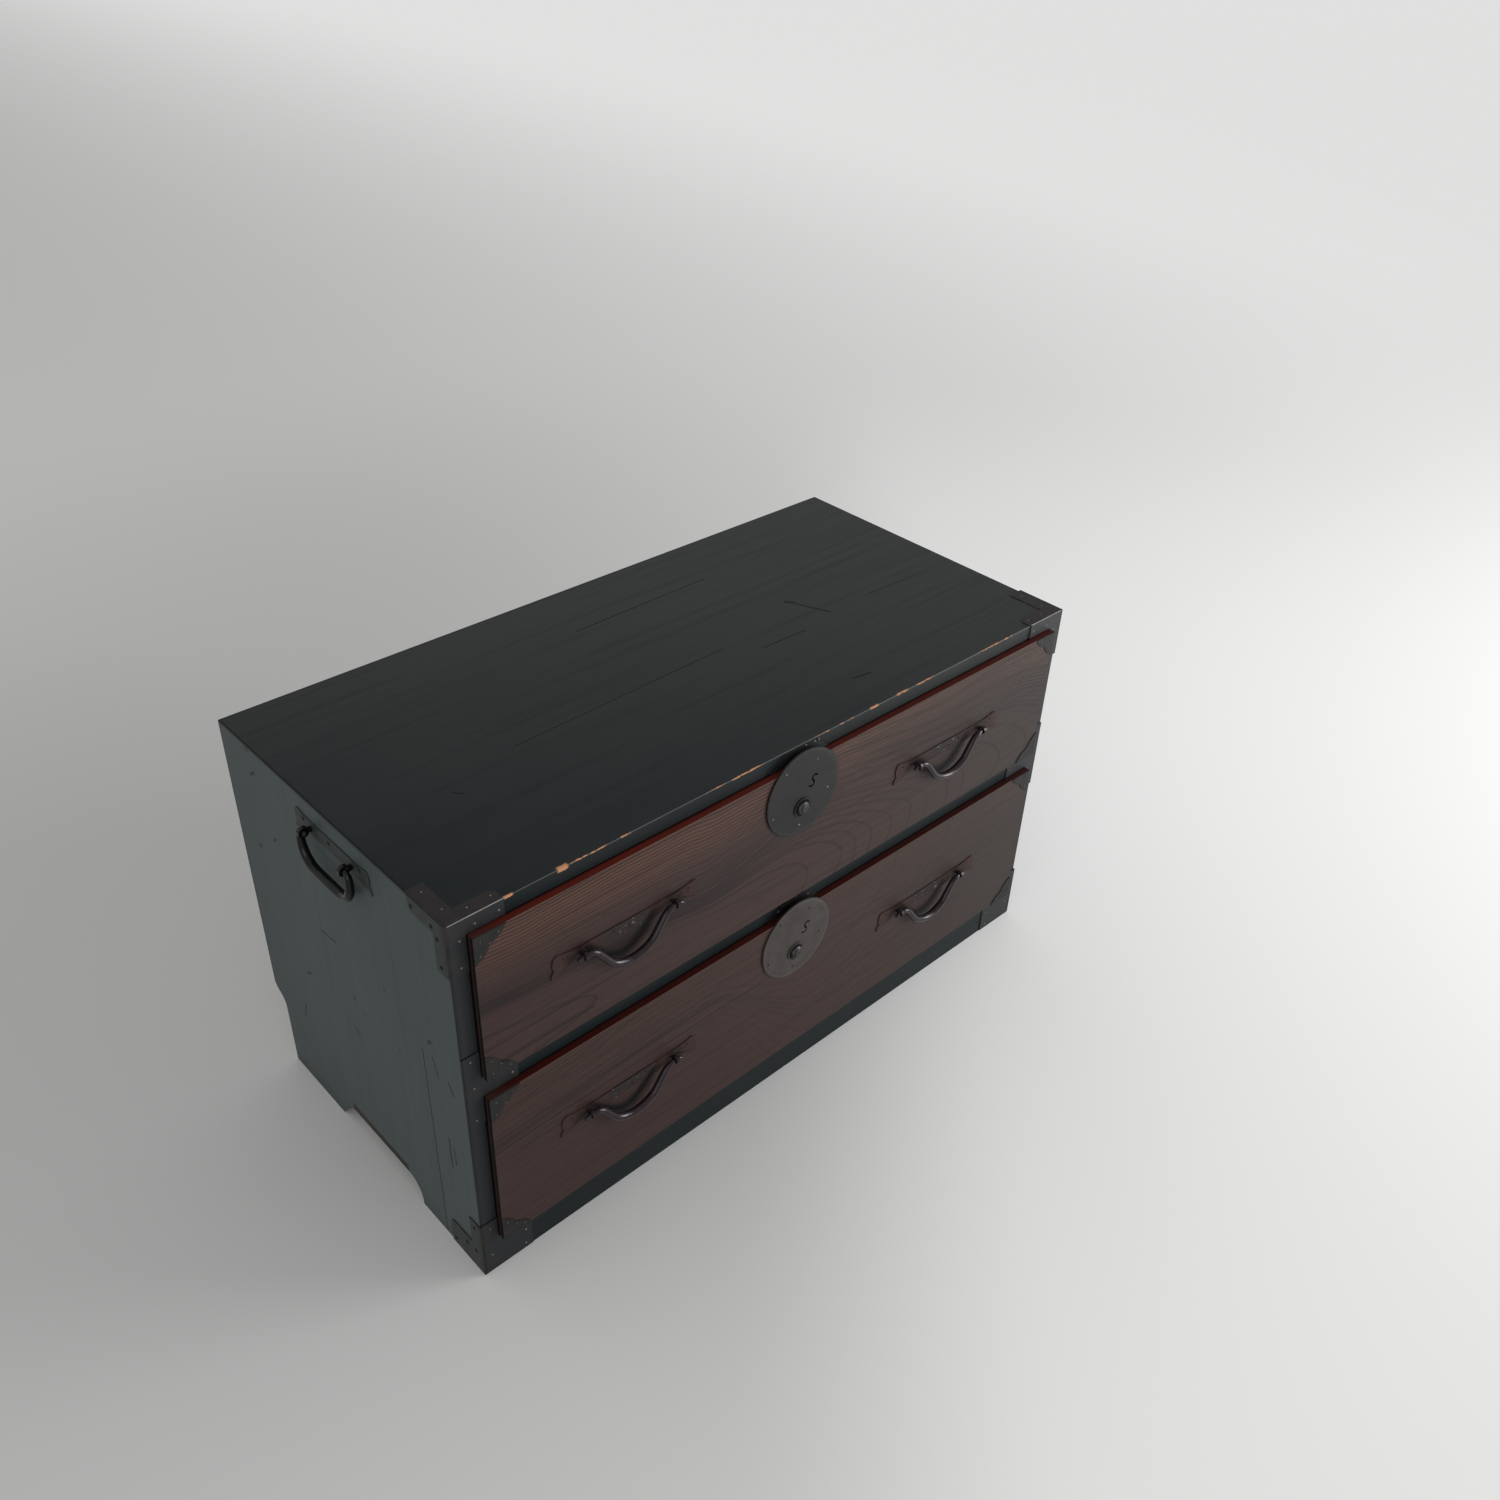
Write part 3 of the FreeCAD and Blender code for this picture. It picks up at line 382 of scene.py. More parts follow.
# Gouges and dents of the side, as start, end and width, from the front edge and from the floor
SIDE_MARKS = (
    ((0.042, 0.14), (0.042, 0.182), 0.0026),
    ((0.033, 0.15), (0.034, 0.176), 0.002),
    ((0.047, 0.27), (0.054, 0.292), 0.002),
    ((0.021, 0.265), (0.028, 0.278), 0.003),
    ((0.345, 0.388), (0.338, 0.394), 0.0026),
    ((0.372, 0.46), (0.362, 0.468), 0.003),
    ((0.264, 0.316), (0.234, 0.319), 0.0022),
    ((0.386, 0.356), (0.384, 0.358), 0.004),
    ((0.058, 0.31), (0.054, 0.314), 0.0034),
    ((0.324, 0.21), (0.316, 0.216), 0.0028),
    ((0.356, 0.12), (0.35, 0.14), 0.0026),
)


def side_lacquer(finish):
    """Thin grey-green lacquer over upright grain, with knocks, gouges and darker edges."""
    lacquer = finish.side_lacquer
    graph = Graph("side_lacquer", lacquer)
    y, z = graph.y - case_front, graph.z
    streaks = graph.noise((80, 80, 2.6), detail=5, roughness=0.6)
    fine = graph.noise((560, 560, 12), detail=2)
    patches = graph.noise((3.5, 3.5, 2.2), detail=4, roughness=0.6)
    knocks = graph.noise(34, detail=2).band(0.71, 0.77)
    marks = graph.strokes(y, z, SIDE_MARKS, knocks * 0.5).clamped()
    graph.coat(patches.band(0.32, 0.68) * 0.6, lacquer, 0.8)
    graph.coat(streaks.band(0.48, 0.75) * 0.3, lacquer, 0.62)
    post = y.fade(0.0003, 0.001)
    edge = (case_top - z).fade(0.001, 0.005)
    edge = edge + (case_back - graph.y).fade(0.001, 0.006)
    foot = z.fade(0.004, 0.03)
    dark = (edge + foot * 0.4 + marks * 0.8).clamped()
    graph.coat(dark * 0.85, lacquer, 0.32)
    graph.coat(marks * 0.9, lacquer, 0.06)
    corner = (case_high.x - abs(graph.x)).fade(0.0028, 0.0044)
    graph.coat(post, finish.post_lacquer)
    graph.coat(corner * post * 0.85, finish.post_lacquer, 0.2)
    height = streaks * 0.5 + fine * 0.3 - marks * 1.4
    return graph.shade(
        Roughness=0.42 + patches * 0.12 + streaks * 0.08,
        Normal=graph.bump(height, 0.4, 0.0006), Specular_IOR_Level=0.36)


def rail_lacquer(finish):
    """Dark blue-green lacquer over level grain."""
    lacquer = finish.rail_lacquer
    graph = Graph("rail_lacquer", lacquer)
    streaks = graph.noise((4, 110, 110), detail=5, roughness=0.6)
    patches = graph.noise((9, 20, 20), detail=4)
    graph.coat(patches.band(0.35, 0.7) * 0.6, lacquer, 1.4)
    graph.coat(streaks.band(0.5, 0.75) * 0.4, lacquer, 0.5)
    return graph.shade(
        Roughness=0.4 + patches * 0.15,
        Normal=graph.bump(streaks + patches * 0.4, 0.35, 0.0005), Specular_IOR_Level=0.16)


# Rings of the drawer fronts: the x of each arch's tip, and how dark its line is
UPPER_RINGS = (
    (-0.295, 0.9), (-0.18, 0.3), (-0.07, 0.4), (0.006, 0.8), (0.061, 0.8), (0.087, 0.7), (0.114, 0.8),
    (0.147, 0.7), (0.182, 0.8), (0.212, 0.6), (0.252, 0.8), (0.282, 0.7), (0.352, 0.8), (0.408, 0.6),
    (0.47, 0.6), (0.54, 0.5), (0.64, 0.5), (0.78, 0.5), (0.95, 0.5), (1.15, 0.5),
)
LOWER_RINGS = (
    (-0.274, 0.6), (-0.224, 0.5), (-0.1, 0.3), (0.04, 0.3), (0.167, 0.5), (0.272, 0.5), (0.312, 0.4),
    (0.352, 0.5), (0.402, 0.4), (0.52, 0.3), (0.7, 0.3), (0.95, 0.3),
)

# Dark level streaks of the drawer fronts, as start, end and width
UPPER_STREAKS = (((-0.44, 0.309), (-0.3, 0.312), 0.005), ((-0.43, 0.334), (-0.26, 0.336), 0.0022))
LOWER_STREAKS = (
    ((-0.44, 0.204), (-0.12, 0.206), 0.0024), ((-0.44, 0.187), (-0.06, 0.19), 0.0022),
    ((-0.4, 0.172), (-0.16, 0.173), 0.002),
)

# How far the tips of the rings lie above the upper front's lower edge and above the lower front's upper edge
UPPER_TIPS = 0.026
LOWER_TIPS = 0.004

# Between the combed lines of the grain, and between the close rings at the right
COMB_PITCH = 0.0046
OUTER_PITCH = 0.0175


def arched_lines(graph, rise, wander, arches, outer_share):
    """Dark rings that open above and below a level line, each from its tip, and the close outer rings."""
    x = graph.x
    above, below = rise.math("MAXIMUM", 0.0), rise.math("MINIMUM", 0.0)
    open_above = 0.008 + x.band(-0.15, 0.06) * 0.027 + x.band(0.2, 0.4) * 0.022
    open_below = open_above * (1 + x.band(-0.15, 0.06) * 2 - x.band(0.2, 0.33) * 2.5)
    rings = x + above * above / open_above + below * below / open_below + wander * 0.01
    slope = above * 2 / open_above - below * 2 / open_below
    slope = (slope * slope + 1).math("SQRT")
    line = 0.0
    for tip, darkness in arches:
        off = (rings - tip) / slope
        line = off.band(-0.0055, 0.0) * off.fade(0.0, 0.0016) * darkness + line
    off = abs((rings / OUTER_PITCH).math("FRACT") - 0.5) * OUTER_PITCH / slope
    outer = rings.band(0.42, 0.46) * x.band(0.0, 0.14) * slope.fade(5.0, 9.0)
    line = off.fade(0.0, 0.0019) * outer * outer_share + line
    uneven = graph.noise((7, 7, 26), detail=2).band(0.2, 0.7)
    return (line * (0.45 + uneven * 0.55)).clamped()


def handle_dirt_and_shadow(graph, axis):
    """Dirt and painted shadow round a drawer handle: dirt black at the eyes, the painted shadow of the
    hanging bar, and the painted shadow of each fan plate's lower edge outwards from each eye.
    """
    sizes = bpy.context.scene.tansu_sizes
    half = sizes.bail_spacing / 2
    across, rise = graph.x - axis[0], graph.z - axis[2]
    mottle = graph.noise((130, 130, 170), detail=3, roughness=0.7)
    off = abs(across) - half - 0.005
    eyes = (off * off + rise * rise * 1.8).math("SQRT").fade(0.004, 0.021)
    eyes = eyes * (0.2 + mottle.band(0.35, 0.6) * 0.8)
    # Painted shadow of the hanging bar, shifted up and to the left of it
    place = (across + 0.008) / half
    curve = ((place * math.pi).math("COSINE") + 1) * (-sizes.bail_fall / 2) + 0.006
    bar_shadow = abs(rise - curve).fade(0.002, 0.012) * abs(place).fade(0.55, 0.95)
    # Painted shadow of each fan plate's lower edge, a thin line outwards and down from each eye
    fan_edge_shadow = graph.strokes(across, rise, (
        ((half, 0.001), (half + 0.03, -0.01), 0.0013), ((-half, 0.001), (-half - 0.022, -0.01), 0.0013)))
    return eyes * 0.9 + bar_shadow + fan_edge_shadow * 0.8


def front_edges(graph, finish, low, high, streaks, warmth):
    """The top edge of a drawer front in red lacquer, darker at its front border, with painted shade at its
    back border; its black ends, and a painted highlight along its front arris.
    """
    x, z = graph.x, graph.z
    back = (graph.y - face_y) / (case_front - face_y)
    edge = graph.blend(
        x.band(-0.3, 0.4) * 0.45, tinted(finish.edge_red, 0.25 + 0.75 * warmth), tinted(finish.edge_red, 0.2))
    edge = graph.blend((x - low.x).fade(0.004, 0.03) * 0.7, edge, finish.keyaki)
    edge = graph.blend(streaks.band(0.45, 0.65) * 0.5, edge, tinted(finish.edge_red, 0.45))
    edge = graph.blend(back.fade(0.05, 0.3) * 0.6, edge, tinted(finish.edge_red, 0.3))
    # Painted shade at the back border, in the gap under the rail
    edge = graph.blend((back + streaks * 0.08).band(0.86, 0.98), edge, tinted(finish.keyaki_dark, 0.25))
    # The ends: black round a paler middle strip; the black at the back is painted shade in the gap by the
    # post
    strip = back.band(0.3, 0.4) * back.fade(0.62, 0.75)
    end = graph.blend(strip, tinted(finish.keyaki_dark, 0.25), tinted(finish.keyaki, 0.8))
    graph.coat((high.z - z).fade(0.0002, 0.0007), edge)
    graph.coat((high.x - abs(x)).fade(0.0002, 0.0008), end)
    # Painted highlight: a thin pale line along the front arris
    arris = (high.z - z + (graph.y - face_y)).fade(0.0003, 0.0009)
    graph.coat(arris * 0.5, finish.keyaki_warm, 1.3)


def front_wood(finish, level, axis_z, arches, level_streaks, warmth, outer_share):
    """Wood of a drawer front: arched rings about one level line, combed grain, warm towards the top left."""
    name = level + "_drawer_front"
    dark = finish.keyaki_dark
    graph = Graph(name, finish.keyaki)
    x, z = graph.x, graph.z
    low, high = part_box(name)
    slow = graph.noise(5, detail=2) - 0.5
    wander = graph.noise((14, 14, 34), detail=3) - 0.5
    line = arched_lines(graph, z - axis_z + slow * 0.01, wander, arches, outer_share)
    streak = graph.strokes(x, z + wander * 0.006, level_streaks)
    pores = graph.noise((26, 300, 760), detail=3, roughness=0.7)
    streaks = graph.noise((2.5, 60, 150), detail=4, roughness=0.6)
    comb_place = (z + slow * 0.03 + wander * 0.004 + x * 0.012) / COMB_PITCH
    comb = abs(comb_place.math("FRACT") - 0.5) * 2
    combed = comb * 0.6 + graph.noise((1.6, 60, 380), detail=2, roughness=0.6) * 0.6 - 0.1
    upward = z.band(high.z - 0.075, high.z - 0.012)
    leftward = x.fade(-0.25, 0.35)
    corner = x.band(0.22, 0.4) * z.band(high.z - 0.05, high.z - 0.02)
    warm = ((upward * (0.55 + leftward * 0.4) + corner * 0.5) * (0.1 + combed) * warmth).clamped()
    graph.coat(warm, finish.keyaki_warm)
    graph.coat(streaks.band(0.42, 0.72) * 0.35, dark)
    graph.coat((1 - combed).band(0.4, 0.8) * (0.15 + upward * leftward * 0.55), dark)
    graph.coat(x.band(0.0, 0.38) * (1 - warm) * 0.55, finish.keyaki_olive)
    graph.coat(line * 0.75, dark, 0.8)
    graph.coat((streak * 0.7).clamped(), dark)
    graph.coat(pores.band(0.56, 0.72) * 0.5, dark)
    graph.coat((1 - pores).band(0.6, 0.75) * 0.25, finish.keyaki_warm)
    # Dirt at the handles' eyes and the painted shadows of the bars and fan plates
    dirt_and_shadow = sum(handle_dirt_and_shadow(graph, axes[level + "_" + side + "_bail_swing"]) for side in SIDES)
    graph.coat(dirt_and_shadow.clamped(), dark, 0.3)
    front_edges(graph, finish, low, high, streaks, warmth)
    return graph.shade(
        Roughness=0.38 + pores * 0.14 + streaks * 0.1,
        Normal=graph.bump(0.6 * pores - line + streaks * 0.3, 0.3, 0.0004), Specular_IOR_Level=0.25)


def bare_board(name, wood, along):
    """Planed wood without lacquer, its grain along one axis."""
    graph = Graph(name, wood)
    scale = tuple(3.0 if axis == along else 85.0 for axis in "xyz")
    rings = graph.noise(scale, detail=5, roughness=0.62, distortion=0.6)
    fibre = graph.noise(tuple(value * 7 for value in scale), detail=2)
    graph.coat(rings.band(0.4, 0.7), wood, 0.62)
    graph.coat(fibre.band(0.5, 0.8) * 0.3, wood, 1.25)
    return graph.shade(
        Roughness=0.62 + rings * 0.16, Normal=graph.bump(rings + fibre * 0.4, 0.4, 0.0005))


# Finishes of the iron

# Brown bloom and black specks on all sheet iron
BLOOM = (0.028, 0.021, 0.017, 1.0)
SPECK = (0.008, 0.008, 0.008, 1.0)


def iron_surface(graph, metallic, roughness, shine=0.35):
    """Hammered, speckled iron over a colour that a material has already laid out."""
    hammer = graph.node("ShaderNodeTexVoronoi", {"feature": "SMOOTH_F1"}, {
        "Vector": graph.stretched((150, 150, 150)), "Scale": 1.0, "Smoothness": 0.8})
    bloom = graph.noise(60, detail=5, roughness=0.65)
    specks = graph.noise(520, detail=2)
    graph.coat(bloom.band(0.42, 0.68) * 0.5, BLOOM)
    graph.coat(specks.band(0.6, 0.75) * 0.45, SPECK)
    return graph.shade(
        Metallic=metallic, Roughness=roughness + bloom * 0.2,
        Normal=graph.bump(hammer * 0.5 + specks * 0.25, 0.3, 0.0004), Specular_IOR_Level=shine)


def bracket_iron(finish):
    """Iron of the corner brackets: blue-grey in front, brown-black on top, grey-green at the sides, with
    painted shade on the side plates' edge walls and painted shadow rings round the nails on top.
    """
    brown = finish.top_iron
    graph = Graph("bracket_iron", finish.side_iron)
    front_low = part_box("left_mid_bracket")[0].y
    case_half, iron_half = case_high.x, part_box("right_top_bracket")[1].x
    front = (graph.y - case_front).fade(-0.0003, -0.0001)
    top = (graph.z - case_top).band(0.0001, 0.0003)
    across = abs(graph.x)
    graph.coat(top, brown)
    graph.coat(front, finish.front_iron)
    # Painted shade on the side plates' edge walls, where they meet the boards
    side_edge = (across - case_half).fade(0.0008, 0.0011) * (1 - front) * (1 - top)
    corner = (graph.y - case_front).fade(0.001, 0.012)
    graph.coat(corner * (1 - front) * (1 - top) * 0.6, brown)
    graph.coat(side_edge * 0.7, finish.side_iron, 0.3)
    top_edge = (graph.z - case_top).fade(0.0008, 0.0011) * top * (1 - front)
    graph.coat(top_edge * 0.5, finish.worn_iron)
    arris = (graph.y - front_low + (iron_top - graph.z)).fade(0.0003, 0.0009)
    graph.coat(arris, finish.worn_iron)
    seam = abs(across - iron_half).fade(0.0026, 0.0042)
    seam = seam * (front + top).clamped()
    graph.coat(seam * 0.9, brown, 0.2)
    from_side, inward = case_half - across, graph.y - case_front
    heads, rings = 0.0, 0.0
    for u, v in TOP_BRACKET_TOP_NAILS:
        far = graph.distance(from_side - u, inward - v)
        heads = far.fade(0.0006, 0.0011) + heads
        # Painted shadow: a dark ring round each nail head
        rings = far.fade(0.0015, 0.0023) + rings
    graph.coat(rings.clamped() * top * 0.85, brown, 0.25)
    graph.coat(heads.clamped() * top, finish.nail_iron)
    return iron_surface(graph, 0.2, 0.45)


def handle_plate_iron(finish, name, axis):
    """Iron of a drawer handle's plate, lacquered with the wood: rubbed in the middle, black with dirt at the
    eyes, with the painted shadows of the bar and fan edges and painted shade on its edge walls.
    """
    graph = Graph(name, finish.keyaki)
    across = graph.x - axis[0]
    rubbed = abs(across).fade(0.022, 0.044)
    cloud = graph.noise((120, 120, 300), detail=4, roughness=0.7)
    graph.coat(rubbed * (0.35 + cloud.band(0.4, 0.65) * 0.6), finish.front_iron)
    graph.coat(rubbed * cloud.band(0.6, 0.66) * 0.5, finish.worn_iron)
    # Dirt at the eyes and the painted shadows of the bar and the fan edges
    graph.coat(handle_dirt_and_shadow(graph, axis).clamped(), finish.keyaki_dark, 0.3)
    front_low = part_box(name)[0].y
    # Painted shade on the plate's edge walls
    wall = (graph.y - front_low).band(0.0003, 0.0006)
    graph.coat(wall * 0.3, finish.keyaki_dark, 0.5)
    return iron_surface(graph, 0.0, 0.46, 0.15)


def plain_iron(iron, name, metallic, roughness, shine=0.35):
    """Sheet iron of one colour."""
    return iron_surface(Graph(name, iron), metallic, roughness, shine)


def lock_iron(iron, name, level, mottle):
    """Iron of a round lock plate: rubbed grey, mottled, with a faint line inside its rim and a painted shadow
    round the knob.
    """
    graph = Graph(name, iron)
    middle = lock_middle(level)
    across, rise = graph.x - middle.x, graph.z - middle.z
    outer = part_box(level + "_drawer_lock_plate")[1].x - middle.x
    radius = graph.distance(across, rise)
    rim_line = abs(radius - (outer - 0.003)).fade(0.0002, 0.0009)
    rim_edge = radius.band(outer - 0.0022, outer - 0.0004)
    cloud = graph.noise(32, detail=5, roughness=0.62)
    specks = graph.noise(420, detail=3, roughness=0.7)
    swirl = graph.noise(90, detail=4, distortion=1.2)
    graph.coat(cloud.band(0.36, 0.66) * (0.3 + mottle * 0.7), iron, 0.72)
    graph.coat(swirl.band(0.5, 0.72) * mottle * 0.6, iron, 0.5)
    graph.coat(specks.band(0.6, 0.72) * mottle * 0.6, iron, 0.42)
    knob = axes[level + "_lock_knob_turn"]
    # Painted shadow: a dark ring round the knob
    knob_shadow = graph.distance(graph.x - knob[0], graph.z - knob[2]).fade(0.0095, 0.0125)
    graph.coat(knob_shadow * 0.85, iron, 0.16)
    graph.coat(rim_line * 0.3, iron, 1.9)
    height = specks * 0.3 * mottle + swirl * 0.3 * mottle - rim_line - rim_edge * 2
    return graph.shade(
        Metallic=0.75, Roughness=0.42 + cloud * 0.2 + knob_shadow * 0.1,
        Normal=graph.bump(height, 0.3, 0.0005))


def bar_iron(iron, name):
    """Forged and burnished bar, nearly black, with long soft hammer marks."""
    graph = Graph(name, iron)
    dents = graph.noise(110, detail=2, roughness=0.5)
    bloom = graph.noise(420, detail=3)
    graph.coat(dents.band(0.4, 0.7), iron, 0.6)
    return graph.shade(
        Metallic=0.1, Roughness=0.14 + bloom * 0.1,
        Normal=graph.bump(dents + bloom * 0.1, 0.2, 0.0006), Specular_IOR_Level=0.28)


def works_iron(iron, name):
    """Black iron of the bolts and boxes, filed bright on the high places."""
    graph = Graph(name, iron)
    scale = graph.noise(260, detail=4)
    graph.coat(scale.band(0.45, 0.7), iron, 0.5)
    return graph.shade(
        Metallic=0.85, Roughness=0.36 + scale * 0.2, Normal=graph.bump(scale, 0.3, 0.0003))


def knob_iron(iron, level):
    """Rubbed black iron of a lock knob: a dark rim, a dark groove and a crescent round the boss."""
    graph = Graph(level + "_knob_iron", iron)
    axis = axes[level + "_lock_knob_turn"]
    across, rise = graph.x - axis[0], graph.z - axis[2]
    radius = graph.distance(across, rise) / knob_radius
    scale = graph.noise(260, detail=4)
    groove = abs(radius - 0.62).fade(0.04, 0.11)
    crescent = graph.distance(across - 0.0006, rise + 0.0006) / knob_radius
    crescent = abs(crescent - 0.3).fade(0.05, 0.1) * (across + rise).band(-0.001, 0.002)
    dark = (groove * 0.8 + crescent * 0.9 + radius.band(0.9, 0.98) * 0.6).clamped()
    graph.coat(scale.band(0.45, 0.7), iron, 0.5)
    graph.coat(dark, iron, 0.1)
    return graph.shade(
        Metallic=0.7, Roughness=0.34 + scale * 0.2 + dark * 0.2,
        Normal=graph.bump(scale * 0.3 - dark, 0.4, 0.0004))


# Modelling


def deselect():
    """Clear the selection, so that an operator acts on the new piece alone."""
    bpy.ops.object.select_all(action="DESELECT")


def wear(piece, material):
    """Give a piece or a node one material."""
    piece.data.materials.clear()
    piece.data.materials.append(material)


def dress_nodes(nodes, material):
    """Give one material to several nodes of the frame."""
    for name in nodes:
        wear(frame["nodes"][name], material)


def ring_scale(sides):
    """How much larger a ring is drawn, so that its smoothed form has the true radius."""
    return 6 / (4 + 2 * math.cos(2 * math.pi / sides))


def smoothed(piece, levels):
    """Round a coarse piece and shade it smooth."""
    modifier = piece.modifiers.new("smooth", "SUBSURF")
    modifier.levels = levels
    modifier.render_levels = levels
    bpy.ops.object.modifier_apply(modifier=modifier.name)
    bpy.ops.object.shade_smooth()


def copied(piece, name, matrix):
    """A copy with its own mesh, moved to its place in the mesh."""
    other = piece.copy()
    other.data = piece.data.copy()
    other.name = name
    other.data.name = name
    other.data.transform(matrix)
    bpy.context.scene.collection.objects.link(other)
    return other


def walk(start, heading, moves):
    """Stations along runs and turns in a plane: place, heading and the distance travelled."""
    across, up = start
    travelled = 0.0
    stations = [(across, up, heading, travelled)]
    for move in moves:
        radius, turn, count = move if len(move) == 3 else (0.0, 0.0, 1)
        for index in range(count):
            step = turn / count
            chord = 2 * radius * math.sin(abs(step) / 2) if len(move) == 3 else move[0]
            across += chord * math.cos(heading + step / 2)
            up += chord * math.sin(heading + step / 2)
            heading += step
            travelled += chord
            stations.append((across, up, heading, travelled))
    return stations


def drawn_out(name, sides, radius, place, turn, steps):
    """A disc extruded from place to place: each step has its place, a turn about Y and a scale."""
    deselect()
    bpy.ops.mesh.primitive_circle_add(
        vertices=sides, radius=radius, fill_type="NGON", location=place, rotation=turn)
    piece = bpy.context.object
    piece.name = name
    bpy.ops.object.transform_apply(location=True, rotation=True, scale=True)
    bpy.ops.object.mode_set(mode="EDIT")
    for step, bend, ratio in steps:
        bpy.ops.mesh.extrude_region_move(TRANSFORM_OT_translate={"value": step - place})
        bpy.ops.transform.rotate(value=bend, orient_axis="Y", center_override=step)
        bpy.ops.transform.resize(value=(ratio, ratio, ratio), center_override=step)
        place = step
    bpy.ops.mesh.select_all(action="SELECT")
    bpy.ops.mesh.normals_make_consistent(inside=False)
    bpy.ops.object.mode_set(mode="OBJECT")
    return piece


def swept_bar(stations, plain, lean, end_radius, middle_radius, sides):
    """A round bar in the XZ plane, thin for a plain length at its ends."""
    total = stations[-1][3] - plain - plain
    places = [Vector((across, lean * up, up)) for across, up, heading, travelled in stations]
    radii = []
    for across, up, heading, travelled in stations:
        share = min(max((travelled - plain) / total, 0), 1)
        swell = math.sin(math.pi * share) ** 0.4
        radii.append(end_radius + (middle_radius - end_radius) * swell)
    steps = []
    for index in range(1, len(stations)):
        bend = stations[index][2] - stations[index - 1][2]
        steps.append((places[index], bend, radii[index] / radii[index - 1]))
    turn = (0, math.pi / 2 - stations[0][2], 0)
    piece = drawn_out("bail", sides, radii[0] * ring_scale(sides), places[0], turn, steps)
    smoothed(piece, 2)
    return piece


def turned(name, rings, sides):
    """A turned form along -Y through rings of distance and radius."""
    steps = []
    for (out, radius), last in zip(rings[1:], rings):
        steps.append((Vector((0, -out, 0)), 0, radius / last[1]))
    start = Vector((0, -rings[0][0], 0))
    return drawn_out(name, sides, rings[0][1], start, (math.pi / 2, 0, 0), steps)


def block(name, low, high):
    """A block between two corners."""
    deselect()
    middle = (Vector(low) + Vector(high)) / 2
    size = Vector(high) - Vector(low)
    bpy.ops.mesh.primitive_cube_add(size=1, location=middle, scale=size)
    piece = bpy.context.object
    piece.name = name
    bpy.ops.object.transform_apply(location=True, rotation=True, scale=True)
    return piece


def joined(name, pieces):
    """Several pieces as one."""
    deselect()
    for piece in pieces:
        piece.select_set(True)
    bpy.context.view_layer.objects.active = pieces[0]
    if len(pieces) > 1:
        bpy.ops.object.join()
    pieces[0].name = name
    pieces[0].data.name = name
    return pieces[0]


class TANSU_OT_case_wood(bpy.types.Operator):
    """Lacquer the case and leave its inner boards bare"""

    bl_idname = "tansu.case_wood"
    bl_label = "Case Wood"

    def execute(self, context):
        finish = context.scene.tansu_finish
        dress_nodes(["top_board"], top_lacquer(finish))
        dress_nodes(["left_side_board", "right_side_board"], side_lacquer(finish))
        dress_nodes(["mid_rail", "base_rail"], rail_lacquer(finish))
        dress_nodes(["divider_panel", "back_boards"], bare_board("cedar", finish.cedar, "x"))
        # The bottom board is painted near black: painted shade under the case, seen through the foot cut-outs
        dress_nodes(["bottom_board"], bare_board("stained_cedar", tinted(finish.cedar, 0.2), "x"))
        return {"FINISHED"}


class TANSU_OT_drawer_wood(bpy.types.Operator):
    """Give the drawer fronts their arched grain and leave the drawer boxes bare"""

    bl_idname = "tansu.drawer_wood"
    bl_label = "Drawer Wood"

    def execute(self, context):
        finish = context.scene.tansu_finish
        upper_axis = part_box("upper_drawer_front")[0].z + UPPER_TIPS
        lower_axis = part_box("lower_drawer_front")[1].z + LOWER_TIPS
        upper = front_wood(finish, "upper", upper_axis, UPPER_RINGS, UPPER_STREAKS, 1.0, 0.8)
        lower = front_wood(finish, "lower", lower_axis, LOWER_RINGS, LOWER_STREAKS, 0.2, 0.0)
        dress_nodes(["upper_drawer_front"], upper)
        dress_nodes(["lower_drawer_front"], lower)
        along_y = bare_board("paulownia_sides", finish.paulownia, "y")
        along_x = bare_board("paulownia_boards", finish.paulownia, "x")
        for level in LEVELS:
            dress_nodes([level + "_drawer_" + side + "_side" for side in SIDES], along_y)
            dress_nodes([level + "_drawer_back", level + "_drawer_bottom"], along_x)
        return {"FINISHED"}


class TANSU_OT_plates(bpy.types.Operator):
    """Blacken the flat plates, the strike plates and the works of the locks"""

    bl_idname = "tansu.plates"
    bl_label = "Plates"

    def execute(self, context):
        finish = context.scene.tansu_finish
        brackets = bracket_iron(finish)
        corners = plain_iron(finish.corner_iron, "corner_iron", 0.0, 0.46, 0.2)
        works = works_iron(finish.works_iron, "works_iron")
        for side in SIDES:
            dress_nodes([side + "_" + level + "_bracket" for level in ("top", "mid", "foot")], brackets)
            plate = side + "_carrying_handle_plate"
            dress_nodes([plate], plain_iron(finish.side_iron, plate, 0.2, 0.42))
        dress_nodes(["upper_strike_plate"], plain_iron(finish.front_iron, "strike_iron", 0.3, 0.42))
        dress_nodes(["lower_strike_plate"], works)
        for level, mottle, iron in zip(LEVELS, (0.1, 0.8), (finish.upper_lock, finish.lower_lock)):
            drawer = level + "_drawer_"
            dress_nodes([drawer + "corner_plates"], corners)
            for side in SIDES:
                plate = drawer + side + "_handle_plate"
                axis = axes[level + "_" + side + "_bail_swing"]
                dress_nodes([plate], handle_plate_iron(finish, plate, axis))
            dress_nodes([drawer + piece for piece in ("lock_box", "lock_bolt", "lock_spring")], works)
            dress_nodes([drawer + "lock_plate"], lock_iron(iron, level + "_lock_iron", level, mottle))
        return {"FINISHED"}


# A knob, outwards from its plate: the foot, the flat rim, and half the width of the shaft
KNOB_FOOT = 0.0021
KNOB_RIM = 0.0015
KNOB_SHAFT = 0.003
DOME_RINGS = 8

